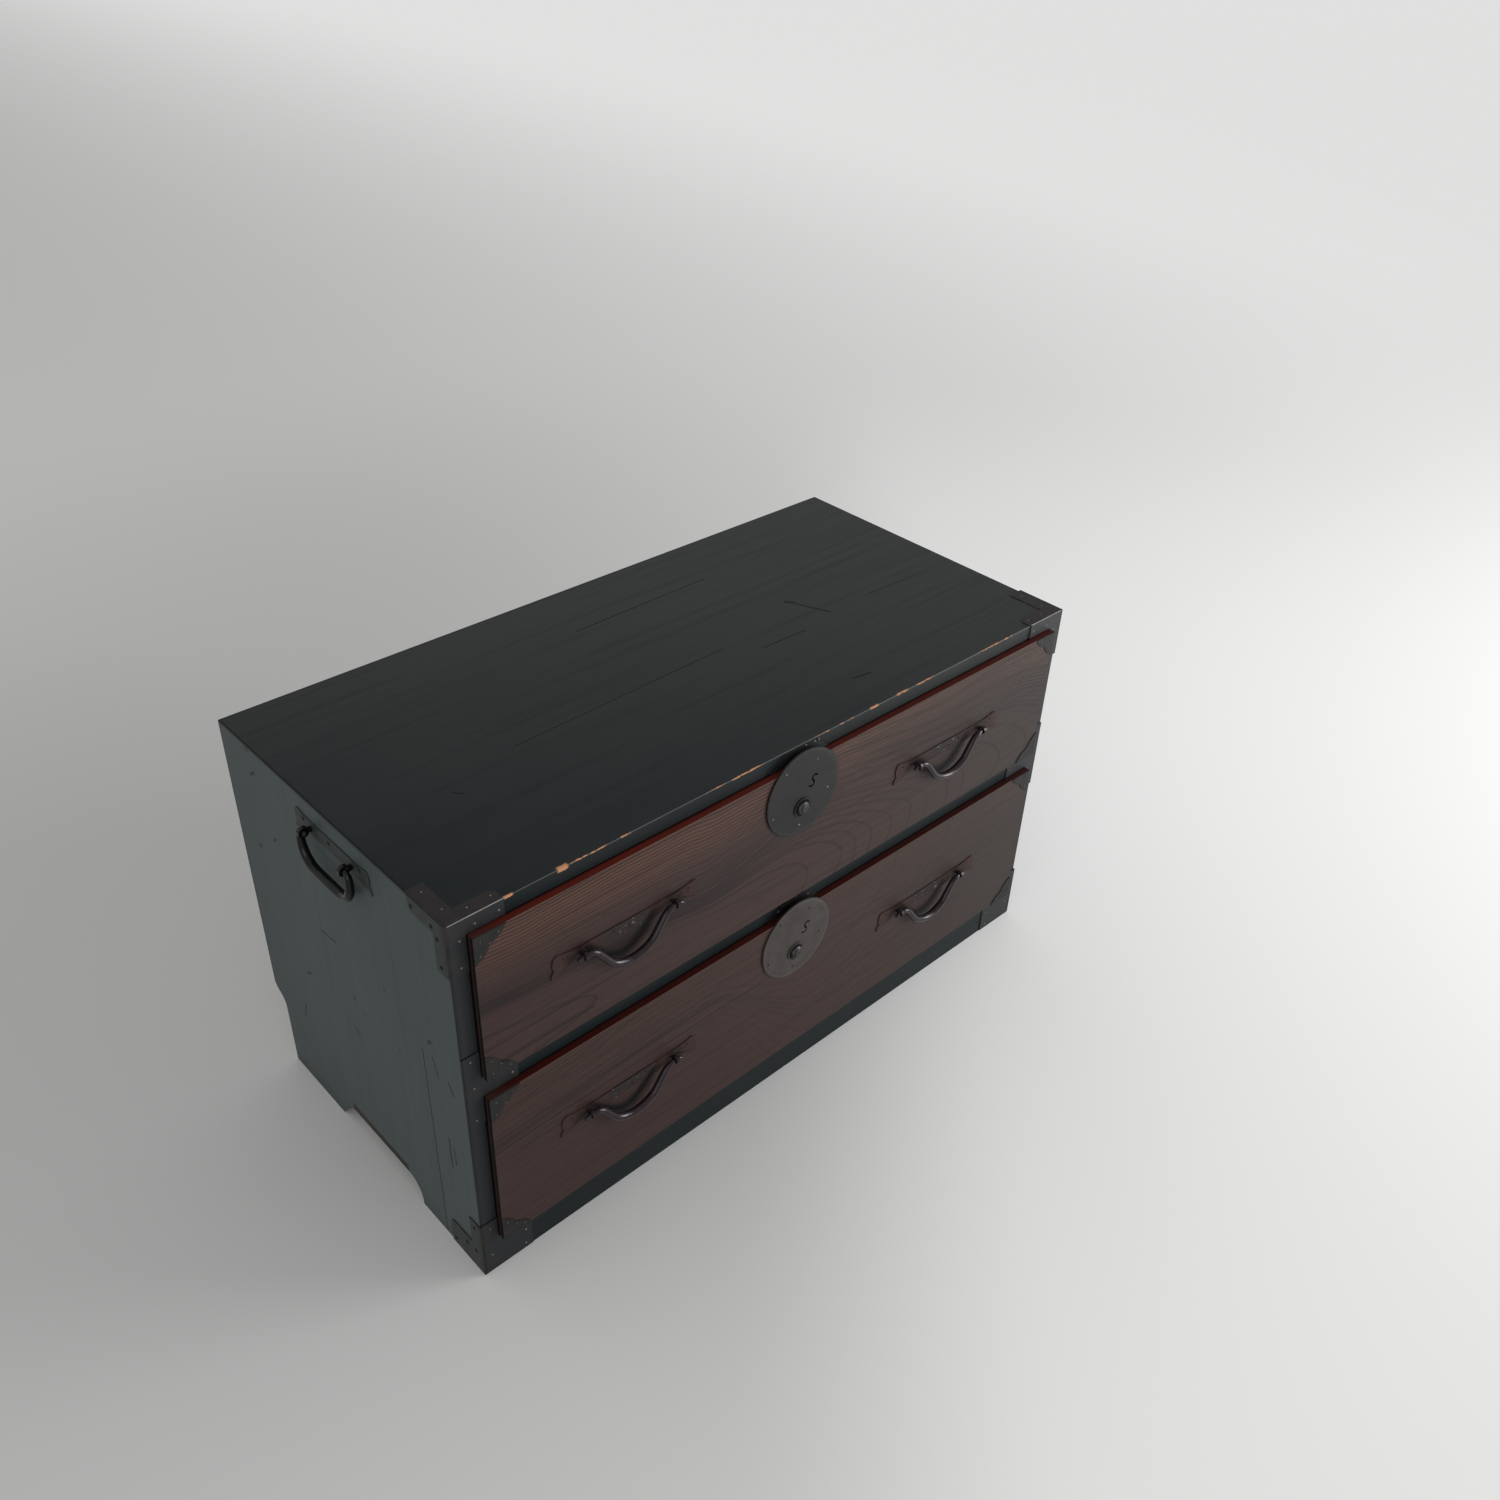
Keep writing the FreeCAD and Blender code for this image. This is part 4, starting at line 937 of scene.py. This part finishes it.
# The slot across a knob: half its width, its ends from the middle, its depth and its turn
SLOT_HALF = 0.0013
SLOT_ENDS = (0.0005, 0.014)
SLOT_DEPTH = 0.003
SLOT_TURN = math.radians(40)

# The crank inside: how far it reaches, where it begins and ends along the shaft, its turn, and its pin
CRANK_REACH = 0.0087
CRANK_NEAR = 0.0045
CRANK_FAR = 0.007
CRANK_TURN = math.radians(45)
PIN_RADIUS = 0.0015
PIN_LENGTH = 0.0052
PIN_PLACE = (0.004, 0, -0.004)


def knob_head(top_out):
    """The domed head of a knob, chamfered at its foot, with a slot sawn across it."""
    dome_out = KNOB_FOOT + KNOB_RIM
    rings = [(KNOB_FOOT, knob_radius * 0.94), (KNOB_FOOT + 0.0004, knob_radius), (dome_out, knob_radius)]
    for index in range(1, DOME_RINGS):
        angle = math.pi / 2 * index / DOME_RINGS
        rings.append((dome_out + (top_out - dome_out) * math.sin(angle), knob_radius * math.cos(angle)))
    head = turned("knob_head", rings, 40)
    near, far = SLOT_ENDS
    slot = block("knob_slot", (near, -0.012, -SLOT_HALF), (far, SLOT_DEPTH - top_out, SLOT_HALF))
    slot.data.transform(Matrix.Rotation(SLOT_TURN, 4, "Y"))
    deselect()
    head.select_set(True)
    bpy.context.view_layer.objects.active = head
    cut = head.modifiers.new("slot", "BOOLEAN")
    cut.object = slot
    cut.operation = "DIFFERENCE"
    cut.solver = "EXACT"
    bpy.ops.object.modifier_apply(modifier=cut.name)
    bpy.data.objects.remove(slot)
    return head


class TANSU_OT_lock_knobs(bpy.types.Operator):
    """Turn the domed knobs, with the slot, the shaft and the crank that lifts the bolt"""

    bl_idname = "tansu.lock_knobs"
    bl_label = "Lock Knobs"

    def execute(self, context):
        finish = context.scene.tansu_finish
        node_low, node_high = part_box("upper_drawer_lock_knob")
        axis_y = axes["upper_lock_knob_turn"][1]
        back, top_out = axis_y - node_high.y, axis_y - node_low.y
        head = knob_head(top_out)
        shaft = turned("knob_shaft", [(back, KNOB_SHAFT), (KNOB_FOOT + 0.0002, KNOB_SHAFT)], 20)
        near, far = back + CRANK_NEAR, back + CRANK_FAR
        crank = block("knob_crank", (-KNOB_SHAFT, -far, -KNOB_SHAFT), (CRANK_REACH, -near, KNOB_SHAFT))
        crank.data.transform(Matrix.Rotation(CRANK_TURN, 4, "Y"))
        pin = turned("knob_pin", [(back, PIN_RADIUS), (back + PIN_LENGTH, PIN_RADIUS)], 12)
        pin.data.transform(Matrix.Translation(PIN_PLACE))
        knob = joined("knob", [head, shaft, crank, pin])
        bpy.ops.object.shade_smooth_by_angle(angle=math.radians(35))
        for level in LEVELS:
            piece = copied(knob, level + "_knob", Matrix.Translation(axes[level + "_lock_knob_turn"]))
            wear(piece, knob_iron(finish.knob_iron, level))
            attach(piece, level + "_lock_knob")
            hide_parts(level + "_drawer_lock_knob")
        bpy.data.objects.remove(knob)
        return {"FINISHED"}


# Width of an eye, which a bar crosses in a straight run, and the plain ends of both kinds of bar
EYE_WIDTH = 0.0046
DRAWER_PLAIN = 0.0119
SIDE_PLAIN = 0.0137


def drawer_bail_stations(sizes):
    """The line of a drawer handle: tails past the eyes, shoulders, arms, corners and a round bottom."""
    reach = EYE_WIDTH / 2
    half = sizes.bail_spacing / 2 - reach
    shoulder, corner, tail_radius = 0.018, 0.024, 0.007
    steep, slight, tail = math.radians(55), math.radians(36), math.radians(60)
    run = half - shoulder * math.sin(steep) - corner * (math.sin(steep) - math.sin(slight))
    fall = sizes.bail_fall - shoulder * (1 - math.cos(steep)) - corner * (math.cos(slight) - math.cos(steep))
    scale = math.cos(steep) - math.cos(steep - slight)
    arm = (run * (1 - math.cos(slight)) - fall * math.sin(slight)) / scale
    bottom = (fall * math.cos(steep) - run * math.sin(steep)) / scale
    start = (-half - EYE_WIDTH - tail_radius * math.sin(tail), -tail_radius * (1 - math.cos(tail)))
    first = [
        (tail_radius, -tail, 3), (reach,), (reach,), (shoulder, -steep, 5), (arm / 2,), (arm / 2,),
        (corner, steep - slight, 2)]
    return walk(start, tail, first + [(bottom, slight + slight, 6)] + first[::-1])


def side_bail_stations(sizes, eye_spacing):
    """The line of a carrying handle: ends through the eyes, small shoulders, round corners, a flat base."""
    half = sizes.side_width / 2
    corner, shoulder, tail, quarter = 0.024, 0.006, 0.007, math.pi / 2
    inner_end = eye_spacing / 2 - tail
    end_run = half - shoulder - inner_end
    arm = sizes.side_fall - shoulder - corner
    base = sizes.side_width - corner - corner
    first = [(end_run,), (shoulder, quarter, 4), (arm,), (corner, quarter, 5), (base / 2,)]
    return walk((-inner_end, 0.0), math.pi, first + first[::-1])


class TANSU_OT_drawer_handles(bpy.types.Operator):
    """Forge the four drawer handles as smooth bars and blacken their eye pins"""

    bl_idname = "tansu.drawer_handles"
    bl_label = "Drawer Handles"

    def execute(self, context):
        sizes = context.scene.tansu_sizes
        iron = bar_iron(context.scene.tansu_finish.bar_iron, "bar_iron")
        stations = drawer_bail_stations(sizes)
        lean = sizes.bail_bow / sizes.bail_fall
        bail = swept_bar(stations, DRAWER_PLAIN, lean, sizes.bail_end, sizes.bail_middle, sizes.bar_sides)
        for level in LEVELS:
            for side in SIDES:
                node = level + "_drawer_" + side + "_handle_"
                place = Matrix.Translation(axes[level + "_" + side + "_bail_swing"])
                piece = copied(bail, node + "bar", place)
                wear(piece, iron)
                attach(piece, level + "_" + side + "_bail")
                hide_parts(node + "bail")
                dress_nodes([node + "eye_pins"], iron)
        bpy.data.objects.remove(bail)
        return {"FINISHED"}


class TANSU_OT_carrying_handles(bpy.types.Operator):
    """Forge the two carrying handles as smooth bars and blacken their eye pins"""

    bl_idname = "tansu.carrying_handles"
    bl_label = "Carrying Handles"

    def execute(self, context):
        sizes = context.scene.tansu_sizes
        iron = bar_iron(context.scene.tansu_finish.carrying_iron, "carrying_iron")
        pins_low, pins_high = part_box("left_carrying_handle_eye_pins")
        eye_spacing = pins_high.y - pins_low.y - EYE_WIDTH
        stations = side_bail_stations(sizes, eye_spacing)
        bail = swept_bar(stations, SIDE_PLAIN, 0.0, sizes.side_end, sizes.side_middle, sizes.bar_sides)
        for side in SIDES:
            place = Matrix.Translation(axes[side + "_carrying_bail_swing"])
            piece = copied(bail, side + "_carrying_handle_bar", place @ Matrix.Rotation(math.pi / 2, 4, "Z"))
            wear(piece, iron)
            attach(piece, side + "_carrying_bail")
            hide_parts(side + "_carrying_handle_bail")
            dress_nodes([side + "_carrying_handle_eye_pins"], iron)
        bpy.data.objects.remove(bail)
        return {"FINISHED"}


# Nails of each plate, from a corner or a middle, as u across and v up or down
TOP_BRACKET_NAILS = ((0.03, 0.0107), (0.056, 0.0098), (0.013, 0.022), (0.012, 0.054))
TOP_BRACKET_TOP_NAILS = ((0.011, 0.054), (0.012, 0.022), (0.03, 0.0095), (0.055, 0.0095))
TOP_BRACKET_SIDE_NAILS = ((0.054, 0.009), (0.021, 0.011), (0.013, 0.021), (0.011, 0.054))
FOOT_BRACKET_NAILS = ((0.011, 0.069), (0.01, 0.026), (0.0537, 0.03), (0.0525, 0.008))
FOOT_BRACKET_SIDE_NAILS = ((0.011, 0.069), (0.012, 0.03), (0.03, 0.026), (0.053, 0.01))
MID_BRACKET_NAILS = ((0.01, 0.041), (0.01, -0.041), (0.011, 0.004), (0.055, -0.004))
CORNER_PLATE_NAILS = ((0.007, 0.007), (0.027, 0.006), (0.006, 0.024), (0.017, 0.014))
LOCK_PLATE_NAILS = (
    (-0.0284, 0.036), (0.0182, 0.0355), (-0.0447, -0.015), (0.0375, -0.0105), (-0.0039, -0.042))
HANDLE_PLATE_NAILS = ((-0.018, 0.003), (0.002, -0.001), (0.02, 0.003), (-0.08, 0.004), (0.08, 0.004))
CARRYING_PLATE_NAILS = ((-0.054, 0.004), (0.004, 0.002), (0.054, 0.004))
STRIKE_NAILS = ((0.028, 0.052), (0.0223, 0.052), (0.0087, 0.053))
LOWER_STRIKE_NAILS = ((0.024, 0.048), (-0.024, 0.048))

# Thickness of a lock plate
LOCK_PLATE = 0.002


def nail_head(height, radius, material, shadow):
    """One domed nail on a thin dark ring, where dirt and shadow gather."""
    rings = [
        (-0.0008, radius * 1.5), (0.0001, radius * 1.5), (0.00012, radius), (height * 0.5, radius * 0.9),
        (height * 0.85, radius * 0.6), (height, radius * 0.25)]
    head = turned("nail", rings, 12)
    head.data.materials.append(material)
    head.data.materials.append(shadow)
    for face in head.data.polygons:
        face.material_index = 1 if face.center.y > -0.00011 else 0
    return head


class TANSU_OT_nails(bpy.types.Operator):
    """Drive the nails that hold the iron plates"""

    bl_idname = "tansu.nails"
    bl_label = "Nails"

    def execute(self, context):
        sizes = context.scene.tansu_sizes
        finish = context.scene.tansu_finish
        shadow = plain_iron(tinted(finish.works_iron, 0.2), "nail_shadow", 0.0, 0.6)
        height, small = sizes.nail_height, sizes.nail_radius
        rubbed = plain_iron(finish.nail_iron, "nail_iron", 0.6, 0.3)
        dull = plain_iron(tinted(finish.nail_iron, 0.35), "dull_nail", 0.6, 0.35)
        dark = plain_iron(tinted(finish.works_iron, 0.3), "black_nail", 0.2, 0.5, 0.12)
        bright, dim, black, broad = [nail_head(height, radius, iron, shadow) for radius, iron in (
            (small, rubbed), (small, dull), (small, dark), (sizes.side_nail, dark))]
        places = {
            ("case", "case"): (bright, case_nail_places()),
            ("case", "side"): (broad, side_nail_places()),
        }
        for level, head in zip(LEVELS, (bright, black)):
            body = level + "_drawer"
            places[(body, body + "_corner")] = (dim, corner_nail_places(level))
            places[(body, body + "_lock")] = (head, lock_nail_places(level))
            places[(body, body + "_handle")] = (black, handle_nail_places(level))
        for (body, name), (head, matrices) in places.items():
            nails = [copied(head, name + "_nail", matrix) for matrix in matrices]
            piece = joined(name + "_nails", nails)
            bpy.ops.object.shade_smooth_by_angle(angle=math.radians(50))
            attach(piece, body)
        for head in (bright, dim, black, broad):
            bpy.data.objects.remove(head)
        return {"FINISHED"}


def nails_at(corner, across, up, offsets, turn=0.0):
    """Places of nails by their offsets across and up from a corner. Without a turn they face -Y."""
    facing = Matrix.Rotation(turn, 4, "Z")
    places = []
    for u, v in offsets:
        place = Vector(corner) + Vector(across) * u + Vector(up) * v
        places.append(Matrix.Translation(place) @ facing)
    return places


def side_nail_places():
    """Every nail of the brackets' side plates and of the carrying handle plates."""
    places = []
    back, up, down = (0, 1, 0), (0, 0, 1), (0, 0, -1)
    for side, sign in SIDES.items():
        turn = sign * math.pi / 2
        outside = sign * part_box("right_top_bracket")[1].x
        places += nails_at((outside, case_front, case_top), back, down, TOP_BRACKET_SIDE_NAILS, turn)
        places += nails_at((outside, case_front, 0), back, up, FOOT_BRACKET_SIDE_NAILS, turn)
        low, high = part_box(side + "_carrying_handle_plate")
        axis = axes[side + "_carrying_bail_swing"]
        face = low.x if side == "left" else high.x
        places += nails_at((face, axis[1], axis[2]), back, up, CARRYING_PLATE_NAILS, turn)
    return places


def case_nail_places():
    """Every nail on the front of the case: the brackets' front plates and the strike plates."""
    places = []
    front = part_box("left_mid_bracket")[0].y
    up, down = (0, 0, 1), (0, 0, -1)
    for side, sign in SIDES.items():
        edge = sign * case_high.x
        inward = (-sign, 0, 0)
        middle = sum(value.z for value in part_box(side + "_mid_bracket")) / 2
        places += nails_at((edge, front, case_top), inward, down, TOP_BRACKET_NAILS)
        places += nails_at((edge, front, 0), inward, up, FOOT_BRACKET_NAILS)
        places += nails_at((edge, front, middle), inward, up, MID_BRACKET_NAILS)
    for level, nails in zip(LEVELS, (STRIKE_NAILS, LOWER_STRIKE_NAILS)):
        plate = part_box(level + "_strike_plate")[0].y
        centre = lock_middle(level)
        places += nails_at((centre.x, plate, centre.z), (1, 0, 0), up, nails)
    return places


def lock_middle(level):
    """The middle of a lock plate."""
    low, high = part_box(level + "_drawer_lock_plate")
    return (low + high) / 2


def corner_nail_places(level):
    """The nails of one drawer's corner plates."""
    places = []
    low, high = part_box(level + "_drawer_corner_plates")
    for end_x, inward in ((low.x, 1), (high.x, -1)):
        for end_z, up in ((low.z, 1), (high.z, -1)):
            places += nails_at((end_x, low.y, end_z), (inward, 0, 0), (0, 0, up), CORNER_PLATE_NAILS)
    return places


def lock_nail_places(level):
    """The nails of one drawer's lock plate."""
    centre = lock_middle(level)
    return nails_at((centre.x, face_y - LOCK_PLATE, centre.z), (1, 0, 0), (0, 0, 1), LOCK_PLATE_NAILS)


def handle_nail_places(level):
    """The nails of one drawer's handle plates."""
    places = []
    for side in SIDES:
        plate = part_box(level + "_drawer_" + side + "_handle_plate")[0].y
        axis = axes[level + "_" + side + "_bail_swing"]
        places += nails_at((axis[0], plate, axis[2]), (1, 0, 0), (0, 0, 1), HANDLE_PLATE_NAILS)
    return places


# Each light's width and place, and the floor's width
LIGHTS = {
    "key": (1.5, (2.5, -1.9, 0.95)),
    "fill": (2.4, (-2.4, -2.0, 1.4)),
    "low": (0.6, (1.7, -1.75, 0.06)),
}
FLOOR_WIDTH = 90


class TANSU_OT_stage(bpy.types.Operator):
    """Set the floor, the soft light and the camera"""

    bl_idname = "tansu.stage"
    bl_label = "Stage"

    def execute(self, context):
        stage = context.scene.tansu_stage
        deselect()
        bpy.ops.mesh.primitive_plane_add(size=FLOOR_WIDTH)
        floor = context.object
        floor.name = "floor"
        wear(floor, floor_paint(stage))
        world = bpy.data.worlds.new("sky")
        context.scene.world = world
        world.use_nodes = True
        background = world.node_tree.nodes["Background"]
        background.inputs["Color"].default_value = (1, 1, 1, 1)
        background.inputs["Strength"].default_value = stage.sky
        for name, (size, place) in LIGHTS.items():
            area_light(name, getattr(stage, name), size, place)
        bpy.ops.object.camera_add(location=stage.camera_place, rotation=stage.camera_turn)
        camera = context.object
        camera.data.lens = stage.lens
        camera.data.sensor_width = 36
        context.scene.camera = camera
        context.scene.view_settings.view_transform = "Standard"
        return {"FINISHED"}


def floor_paint(stage):
    """Plain pale floor that falls into shade on the left, with a painted glow far off on the right and a
    painted pool of light close to the chest's right front.
    """
    graph = Graph("floor", stage.floor)
    x, y = graph.x, graph.y
    shade = (x - y).fade(-1.5, 0.9)
    near = graph.distance(x, y).fade(0.7, 2.6)
    graph.coat(shade * near * 0.3, stage.floor, 0.2)
    # Painted glow far off on the right, and a painted pool of light near the chest's right front that also
    # lights the chest from below
    glow = x.band(0.2, 4.6) * 0.32 + (x - y).band(0.1, 0.65) * near * 0.15
    glow = graph.blend(glow, (0.0, 0.0, 0.0, 1.0), (1.0, 1.0, 1.0, 1.0))
    return graph.shade(
        Roughness=0.85, Specular_IOR_Level=0.2, Emission_Color=glow, Emission_Strength=1.0)


def area_light(name, power, size, place):
    """A square soft light that faces the middle of the chest."""
    deselect()
    target = Vector((0, 0, case_top / 2))
    turn = (target - Vector(place)).to_track_quat("-Z", "Y").to_euler()
    bpy.ops.object.light_add(type="AREA", location=place, rotation=turn)
    light = bpy.context.object
    light.name = name
    light.data.size = size
    light.data.energy = power


class TANSU_PT_sidebar(bpy.types.Panel):
    """Lists the pieces of the chest and their settings"""

    bl_idname = "TANSU_PT_sidebar"
    bl_label = "Tansu Chest"
    bl_space_type = "VIEW_3D"
    bl_region_type = "UI"
    bl_category = "Tansu"

    def draw(self, context):
        column = self.layout.column()
        for operator in OPERATORS:
            column.operator(operator.bl_idname)
        for group in (context.scene.tansu_finish, context.scene.tansu_sizes, context.scene.tansu_stage):
            box = self.layout.box()
            for name in group.__annotations__:
                box.prop(group, name)


OPERATORS = (
    TANSU_OT_case_wood,
    TANSU_OT_drawer_wood,
    TANSU_OT_plates,
    TANSU_OT_lock_knobs,
    TANSU_OT_drawer_handles,
    TANSU_OT_carrying_handles,
    TANSU_OT_nails,
    TANSU_OT_stage,
)
GROUPS = {"tansu_finish": TansuFinish, "tansu_sizes": TansuSizes, "tansu_stage": TansuStage}


def register():
    """Make the settings, the operators and the panel known."""
    for name, group in GROUPS.items():
        bpy.utils.register_class(group)
        setattr(bpy.types.Scene, name, PointerProperty(type=group))
    for operator in OPERATORS:
        bpy.utils.register_class(operator)
    bpy.utils.register_class(TANSU_PT_sidebar)


def unregister():
    """Take the panel, the operators and the settings away again."""
    bpy.utils.unregister_class(TANSU_PT_sidebar)
    for operator in reversed(OPERATORS):
        bpy.utils.unregister_class(operator)
    for name, group in GROUPS.items():
        delattr(bpy.types.Scene, name)
        bpy.utils.unregister_class(group)


def main():
    """Dress the whole chest."""
    register()
    for operator in OPERATORS:
        family, name = operator.bl_idname.split(".")
        getattr(getattr(bpy.ops, family), name)()


if __name__ == "__main__":
    main()
